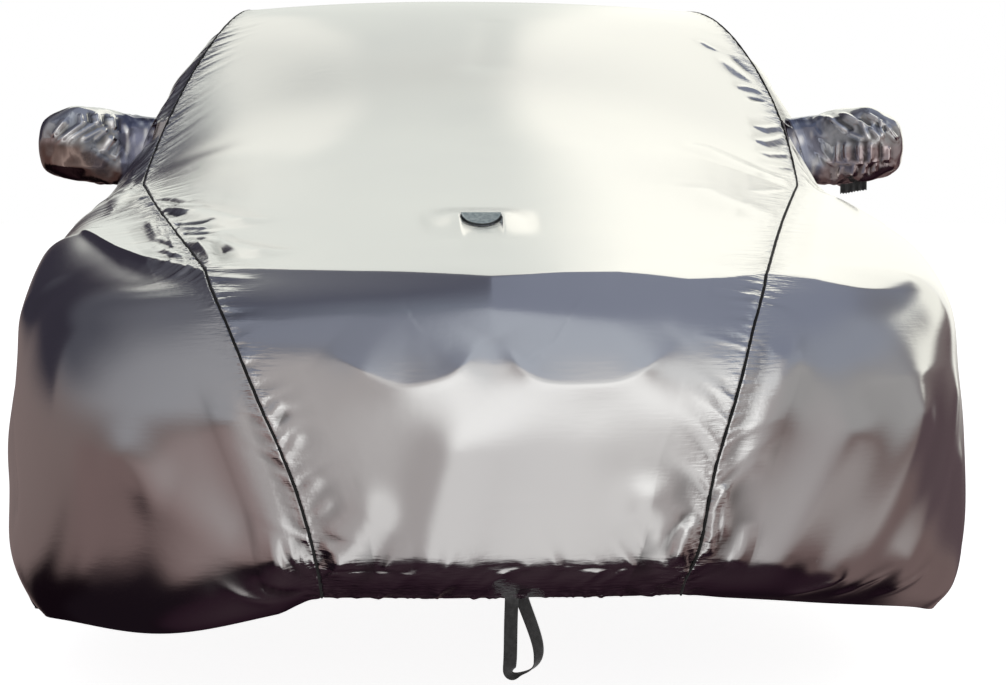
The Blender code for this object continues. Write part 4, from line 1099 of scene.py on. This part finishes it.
def tab(material):
    """A short gathered strip under the right pocket."""
    outs = np.linspace(*TAB_ENDS, 97)
    wave = TAB_WAVE * np.sin(np.linspace(0, 2 * math.pi * TAB_WAVES, len(outs)))
    out, _, up, _, half_height, lean = pocket_table()[FIRST_RIPPLED_RING:-2].T
    places = out + POCKET_REACH["right"] - lean * half_height
    top = np.interp(outs, places, up - half_height) - TAB_GAP
    lines = []
    for share in np.linspace(0, 1, 9):
        back = TAB_BACK + wave * (0.4 + 0.6 * share)
        down = share * (TAB_DROP - TAB_FRAY * np.sin(outs * TAB_FRAYS))
        lines.append(in_frame(np.column_stack([outs, back, top - down])))
    grid = np.array(lines)
    thick = np.array([0, TAB_THICKNESS / 2, 0])
    sections = np.concatenate([grid - thick, grid[::-1] + thick]).transpose(1, 0, 2)
    return tube_object("gathered_tab", sections, material)


def patch(panel, material):
    """A plain half-moon with a raised sewn edge, on the front slope of the swelling."""
    row = int(panel.row(SWELLING_CREST))
    crest, foot = (panel.point(s, SWELLING_MIDDLE, True) for s in (SWELLING_CREST, SWELLING_FOOT))
    rise = np.linalg.norm(crest - foot) / (SWELLING_CREST - SWELLING_FOOT)
    half = 0.5 * PATCH_WIDTH
    angles = np.linspace(math.pi, 2 * math.pi, 61)
    outline = [(half * math.cos(a), PATCH_DEPTH * math.sin(a)) for a in angles]
    outline += [(x, 0.0) for x in np.linspace(half, -half, 40)[1:-1]]
    outline = np.array(outline)
    middle = np.array((0, -PATCH_MIDDLE * PATCH_DEPTH))
    normal = panel.normals[row, panel.base.shape[1] // 2]
    sections = []
    for share, height in PATCH_PROFILE:
        ring = []
        for x, y in middle + (outline - middle) * share:
            station = SWELLING_CREST + (y - PATCH_BELOW_CREST) / rise
            place = panel.point(station, SWELLING_MIDDLE + 2 * x / panel.length[row, 0], True)
            ring.append(place + normal * (PATCH_LIFT + height * PATCH_THICKNESS))
        sections.append(ring)
    shares = np.repeat([share for share, _ in PATCH_PROFILE], len(outline))
    below = np.tile(outline[:, 1] < -RIM_START, len(PATCH_PROFILE))
    rims = [(shares > least) & below for least, _ in RIM_TINTS]
    tint_and_painted_light = np.select(rims, [tint_and_painted_light for _, tint_and_painted_light in RIM_TINTS], PATCH_TINT)[:, None]
    return tube_object("half_moon", np.array(sections), material, tint_and_painted_light)


class Nodes:
    """Short ways to add nodes to the tree of a material or the world."""

    def __init__(self, owner):
        owner.use_nodes = True
        self.nodes = owner.node_tree.nodes
        self.links = owner.node_tree.links

    def fill(self, node, inputs):
        """Gives each input a number, a colour, a vector or another node's output."""
        for name, value in inputs.items():
            socket = node.inputs[name]
            if isinstance(value, (int, float)):
                socket.default_value = value
            elif isinstance(value, tuple):
                socket.default_value = (*value, 1)[: len(socket.default_value)]
            elif value is not None:
                self.links.new(value, socket)

    def add(self, kind, inputs, output=0, **settings):
        node = self.nodes.new("ShaderNode" + kind)
        for name, value in settings.items():
            setattr(node, name, value)
        self.fill(node, inputs)
        return node.outputs[output]

    def math(self, operation, *values):
        return self.add("Math", dict(enumerate(values)), operation=operation)

    def noise(self, place, scale, detail=2, roughness=0.5):
        sizes = {"Vector": place, "Scale": scale, "Detail": detail, "Roughness": roughness}
        return self.add("TexNoise", sizes, "Fac")

    def bump(self, height, strength, distance, before=None):
        sizes = {"Height": height, "Strength": strength, "Distance": distance, "Normal": before}
        return self.add("Bump", sizes)

    def ramp(self, value, stops):
        """A colour for the value, between stops of a position and a colour."""
        output = self.add("ValToRGB", {"Fac": value})
        elements = output.node.color_ramp.elements
        while len(elements) < len(stops):
            elements.new(1.0)
        for element, (position, colour) in zip(elements, stops):
            element.position = position
            element.color = (*colour, 1)
        return output

    def tinted(self, colour):
        # The tint attribute carries painted shade and highlight on the coated cloth, and the patch's own
        # rim colours
        tint_and_painted_light = self.add("Attribute", {}, "Color", attribute_name="tint_and_painted_light")
        return self.add("VectorMath", {0: colour, 1: tint_and_painted_light}, operation="MULTIPLY")

    def step(self, value, low, high):
        """0 at low and 1 at high, with low above high too."""
        up = high > low
        sizes = {"From Min": min(low, high), "From Max": max(low, high)}
        sizes.update({"Value": value, "To Min": 1 - up, "To Max": int(up)})
        return self.add("MapRange", sizes, interpolation_type="SMOOTHSTEP")


def fabric(name, make, *values, **choices):
    """A material whose shader gets what the function makes."""
    made = bpy.data.materials.new(name)
    tree = Nodes(made)
    place = tree.add("TexCoord", {}, "Object")
    uv = tree.add("UVMap", {}, uv_map="cloth")
    tree.fill(tree.nodes["Principled BSDF"], make(tree, place, uv, *values, **choices))
    return made


def coated_cloth(tree, place, uv):
    """Cloth with a thin metal coating: a soft mirror with a fine weave and small creases."""
    tone = tree.noise(place, 2.3, 4)
    colour = tree.ramp(tone, ((0.3, (0.74, 0.74, 0.75)), (0.7, (0.8, 0.8, 0.8))))
    gloss = tree.add("MapRange", {"Value": tone, "To Min": 0.1, "To Max": 0.2})
    slack = tree.add("Attribute", {}, "Fac", attribute_name="slack")
    stretched = tree.add("Mapping", {"Vector": uv, "Scale": (30, 170, 1)})
    creases = tree.noise(place, 34, 3, 0.55)
    bent = None
    for field, distance in ((creases, 0.003), (tree.noise(stretched, 1), 0.0022)):
        bent = tree.bump(tree.math("MULTIPLY", field, slack), 1, distance, bent)
    woven = tree.bump(tree.noise(uv, 600, 1), 0.03, 0.0001, bent)
    # The colour takes the painted shade of the hollows, and on the bags their painted highlight, reflection
    # and shade
    colour = tree.tinted(colour)
    return {"Base Color": colour, "Metallic": 1, "Roughness": gloss, "Normal": woven}


def dull_cloth(tree, place, uv, colours, roughness, threads, depth, sheen=0.3, tinted=False):
    """Dull fabric with threads both ways, a little uneven in colour."""
    sizes = {"Vector": uv, "Scale": threads, "Distortion": 0.6}
    waves = [tree.add("TexWave", sizes, "Fac", bands_direction=way) for way in "XY"]
    woven = tree.bump(tree.math("MULTIPLY", *waves), 0.6, depth)
    colour = tree.ramp(tree.noise(place, 120, 3), tuple(zip((0.35, 0.65), colours)))
    if tinted:
        colour = tree.tinted(colour)
    return {"Base Color": colour, "Roughness": roughness, "Sheen Weight": sheen, "Normal": woven}


# A plain studio: soft walls of light on a gradient from floor to ceiling. Round 0 is in front
# of the object, where the camera is, 90 to the right of the picture and 180 behind, and up 0 is
# level. Colours are linear. Up, colour:
GRADIENT = (
    (-90, (0.045, 0.028, 0.035)), (-64, (0.024, 0.011, 0.018)), (-50, (0.007, 0.003, 0.006)),
    (-32, (0.06, 0.04, 0.042)), (-20, (0.18, 0.126, 0.12)), (-6, (0.205, 0.155, 0.148)),
    (8, (0.195, 0.16, 0.158)), (18, (0.18, 0.165, 0.178)), (32, (0.172, 0.17, 0.193)),
    (48, (0.165, 0.168, 0.195)), (70, (0.1, 0.104, 0.138)), (90, (0.2, 0.22, 0.27)),
)
# Round from, round to, its softness, up from, up to, its softness, colour
WALLS = (
    (-96, 0, 46, 5, 46, 8, (0.335, 0.335, 0.355)), (197, 262, 20, 12, 44, 10, (0.085, 0.085, 0.105)),
    (195.5, 238, 2.5, 2, 26, 5, (0.036, 0.032, 0.046)), (190, 248, 8, -58, -15, 3, (0.006, 0.003, 0.005)),
    (190, 265, 8, -58, -25, 4, (0.006, 0.003, 0.005)), (190, 294, 8, -58, -35, 3, (0.01, 0.006, 0.009)),
    (-3, 90, 10, 42, 100, 6, (0.24, 0.26, 0.33)), (60, 174, 3, 42, 100, 6, (0.24, 0.26, 0.33)),
    (22, 112, 12, 28, 46, 6, (0.3, 0.32, 0.375)), (22, 105, 12, 0, 30, 7, (0.38, 0.37, 0.365)),
    (-70, 0, 15, 52, 84, 6, (0.23, 0.245, 0.3)), (-100, -66, 7, -29, -5, 3, (0.195, 0.135, 0.13)),
    (-66, 140, 6, -45, -20, 4, (0.18, 0.125, 0.12)), (36, 84, 8, -60, -42, 4, (0.13, 0.088, 0.085)),
    (-58, -15, 8, -42, -4, 5, (0.28, 0.21, 0.205)), (45, 95, 14, -32, -12, 8, (0.36, 0.32, 0.31)),
    (98, 165, 6, -15, 2, 4, (0.105, 0.072, 0.08)), (-38, 48, 18, -60, 48, 6, (0.43, 0.4, 0.395)),
    (-5, 42, 14, 46, 92, 8, (0.46, 0.49, 0.55)), (-10, 20, 8, -66, 48, 6, (0.74, 0.72, 0.71)),
    (4, 43, 5, 25, 43, 6, (0.74, 0.74, 0.74)), (-6, 28, 8, 2, 28, 9, (1.06, 1.05, 1.03)),
    (112, 158, 4, 11, 34, 3, (1.08, 1.07, 0.97)), (146, 170, 3, 28, 44, 2, (1.2, 1.19, 1.08)),
    (142, 170, 5, -4, 20, 3, (1.04, 1.03, 0.95)), (156, 191, 2, 0, 45, 2, (1.2, 1.19, 1.08)),
    (175, 192.5, 2.5, 0, 43.5, 2, (0.84, 0.86, 0.8)), (187, 206, 4, 37, 44, 3, (0.8, 0.82, 0.77)),
    (187, 200, 1.5, 29, 41, 2, (1, 1, 0.92)), (186, 194.6, 1, 22, 31, 1.5, (1, 1, 0.92)),
)


def studio_light():
    world = bpy.data.worlds.new("studio")
    bpy.context.scene.world = world
    tree = Nodes(world)
    tree.nodes.clear()
    place = tree.add("TexCoord", {}, "Generated")
    x, y, z = tree.add("SeparateXYZ", {0: place}).node.outputs
    degrees = 180 / math.pi
    up = tree.math("MULTIPLY", tree.math("ARCSINE", z), degrees)
    turn = tree.math("ARCTAN2", x, tree.math("MULTIPLY", y, -1.0))
    turn = tree.math("MULTIPLY", turn, degrees)
    stops = [(height / 180 + 0.5, colour) for height, colour in GRADIENT]
    light = tree.ramp(tree.math("MULTIPLY_ADD", up, 1 / 180, 0.5), stops)
    for start, end, soft_round, low, high, soft_up, colour in WALLS:
        off = tree.math("SUBTRACT", turn, 0.5 * (start + end))
        off = tree.math("ABSOLUTE", tree.math("WRAP", off, 180.0, -180.0))
        half = 0.5 * (end - start)
        inside = tree.step(off, half + soft_round, half - soft_round)
        above = tree.step(up, low - soft_up, low + soft_up)
        below = tree.step(up, high + soft_up, high - soft_up)
        share = tree.math("MULTIPLY", inside, tree.math("MULTIPLY", above, below))
        light = tree.add("Mix", {0: share, 6: light, 7: colour}, 2, data_type="RGBA")
    seen = tree.add("LightPath", {}, "Is Camera Ray")
    light = tree.add("Mix", {0: seen, 6: light, 7: (1.0, 1.0, 1.0)}, 2, data_type="RGBA")
    back = tree.add("Background", {"Color": light})
    tree.fill(tree.nodes.new("ShaderNodeOutputWorld"), {"Surface": back})


def camera():
    lens = bpy.data.cameras.new("camera")
    lens.sensor_width = 36
    lens.lens = CAMERA_LENS
    eye = bpy.data.objects.new("camera", lens)
    eye.location = in_frame(CAMERA_PLACE)
    eye.rotation_euler = (math.radians(90 - CAMERA_DOWN), 0, math.radians(-CAMERA_RIGHT))
    bpy.context.scene.collection.objects.link(eye)
    bpy.context.scene.camera = eye


def floor():
    mesh = bpy.data.meshes.new("floor")
    half = 60
    corners = [(-half, -half, GROUND), (half, -half, GROUND), (half, half, GROUND)]
    mesh.from_pydata([*corners, (-half, half, GROUND)], [], [(0, 1, 2, 3)])
    obj = bpy.data.objects.new("floor", mesh)
    made = bpy.data.materials.new("floor")
    tree = Nodes(made)
    looks = {"Base Color": (0.85, 0.85, 0.85), "Roughness": 0.9}
    looks.update({"Emission Color": (1, 1, 1), "Emission Strength": 0.9})
    tree.fill(tree.nodes["Principled BSDF"], looks)
    mesh.materials.append(made)
    bpy.context.scene.collection.objects.link(obj)
    obj.visible_glossy = False


def fold(panel, folds, creases, puckers, hem_seed):
    """Gives a panel what both kinds have: folds, creases, an edge, puckers and gathers."""
    seam = panel.near_seam
    panel.heights += panel.folds(folds) * smooth_step(0, SEAM_REACH, seam)
    panel.heights += panel.creases(creases) * smooth_step(0, CREASE_START, seam)
    panel.lift = bonnet_edge_heights(panel)
    for side, place, seed in puckers:
        arc = lengths_along(seam_line(panel.stations, side))
        away = panel.to_seam(side)
        panel.heights += ridges(panel.stations, arc, away, PUCKERS[side, place], seed)
    panel.heights += hem_heights(panel, hem_seed)
    panel.heights -= SEAM_DIP * (1 - smooth_step(0, SEAM_DIP_REACH, seam))
    along, (size, reach) = panel.along, SLACK_HEM
    hem = np.minimum(along, along[-1:] - along) if panel.is_middle else panel.length - panel.away
    panel.slack = SLACK_BASE + np.exp(-seam / SLACK_SEAM) + size * np.exp(-hem / reach)


def block_cuts(panel):
    """How many rows and columns each block is cut into, more where its folds are sharp."""
    rows, columns = ((count - 1) // BLOCK for count in panel.base.shape[:2])
    heights = panel.heights + panel.lift
    both = []
    for axis in (0, 1):
        bend = np.abs(np.gradient(np.gradient(heights, axis=axis), axis=axis))[:-1, :-1]
        bend = bend.reshape(rows, BLOCK, columns, BLOCK).max(axis=(1, 3))
        both.append(np.where(bend > SHARP_BEND, BLOCK, np.where(bend > SOFT_BEND, 2, 1)))
    return both


def cut_fine(cuts, where):
    for table in cuts:
        table[where] = BLOCK


def middle_panel(stations):
    """The centre panel and the cuts of its blocks."""
    panel = Panel("middle", stations)
    puckers = [(side, "inner", 11 + k) for k, side in enumerate(SIDES)]
    fold(panel, MIDDLE_FOLDS, MIDDLE_CREASES, puckers, 51)
    panel.heights += swelling_heights(panel) + lip_heights(panel)
    size, far, wide = SLACK_PATCH
    off = ((panel.stations[:, None] - SWELLING_CREST) / far) ** 2
    panel.slack += size * np.exp(-off - ((panel.across - SWELLING_MIDDLE) / wide) ** 2)
    cuts = block_cuts(panel)
    strip = (len(STRIP_COLUMNS) - 1) // BLOCK
    for columns in (slice(0, strip), slice(-strip, None)):
        cut_fine(cuts, (slice(None), columns))
    middle = panel.stations[BLOCK // 2 :: BLOCK]
    front = middle < FRONT_ROWS
    cuts[0][front] = BLOCK
    cuts[1][front] = np.maximum(cuts[1][front], 2)
    cut_fine(cuts, (middle < FRONT_HEM) | (middle > REAR_HEM))
    return panel, cuts


def neck_distance(panel):
    """How far each point is from the neck of the mirror pocket, less than 0 inside it."""
    _, back, up, half_depth, half_height, _ = pocket_table()[0]
    reach = (panel.base - in_frame((0, back, up)))[:, :, 1:] / (half_depth, half_height)
    round_reach = (np.abs(reach) ** POCKET_SQUARENESS).sum(axis=2) ** (1 / POCKET_SQUARENESS)
    return (round_reach - 1) * half_height


def side_panel(side, stations):
    """A side panel, the cuts of its blocks, and the points left out inside a pocket's neck."""
    panel = Panel(side, stations)
    seed = 21 if side == "left" else 22
    puckers = [(side, "outer", seed)]
    fold(panel, SIDE_FOLDS[side], SIDE_CREASES[side], puckers, 60 + seed)
    neck = neck_distance(panel)
    away = np.maximum(neck, 0)
    size, reach = NECK_RISE
    panel.heights += size * np.exp(-away / reach)
    size, reach = SLACK_NECK
    panel.slack += size * np.exp(-away / reach)
    cuts = block_cuts(panel)
    cut_fine(cuts, (slice(None), slice(0, (len(STRIP_COLUMNS) - 1) // BLOCK)))
    fine = (neck < NECK_FINE) | (panel.length - panel.away < HEM_FINE)
    cut_fine(cuts, fine[BLOCK // 2 :: BLOCK, BLOCK // 2 :: BLOCK])
    return panel, cuts, neck < NECK_OPEN


def add_piece(obj, node):
    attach(obj, "root")
    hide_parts(node)


def add_cloth(obj, node):
    add_piece(obj, node)


def main():
    cloth = fabric("coated_cloth", coated_cloth)
    black, grey = ((0.004,) * 3, (0.01,) * 3), ((0.01,) * 3, (0.024,) * 3)
    piping_cloth = fabric("piping_cloth", dull_cloth, black, 0.8, 300, 0.0003, 0.02)
    webbing = fabric("webbing", dull_cloth, grey, 0.7, 120, 0.0006)
    blue = ((0.44, 0.56, 0.56), (0.82, 0.94, 0.9))
    patch_cloth = fabric("patch_cloth", dull_cloth, blue, 0.6, 260, 0.0003, tinted=True)
    stations = seam_stations()
    panel, cuts = middle_panel(stations)
    centre = lattice_object("centre_cloth", panel, cuts, cloth)
    add_cloth(centre, "centre_panel")
    add_piece(patch(panel, patch_cloth), "half_moon_patch")
    for side in SIDES:
        panel, cuts, left_out = side_panel(side, stations)
        obj = lattice_object(f"side_cloth_{side}", panel, cuts, cloth, left_out)
        add_cloth(obj, f"side_panel_{side}")
        add_piece(piping(side, stations, piping_cloth), f"piping_{side}")
        bag = pocket(side, cloth)
        add_cloth(bag, f"mirror_pocket_{side}")
    add_piece(tab(webbing), "pocket_tab_right")
    add_piece(strap(webbing), "front_strap")
    studio_light()
    camera()
    floor()
    bpy.context.scene.view_settings.view_transform = "Standard"


main()
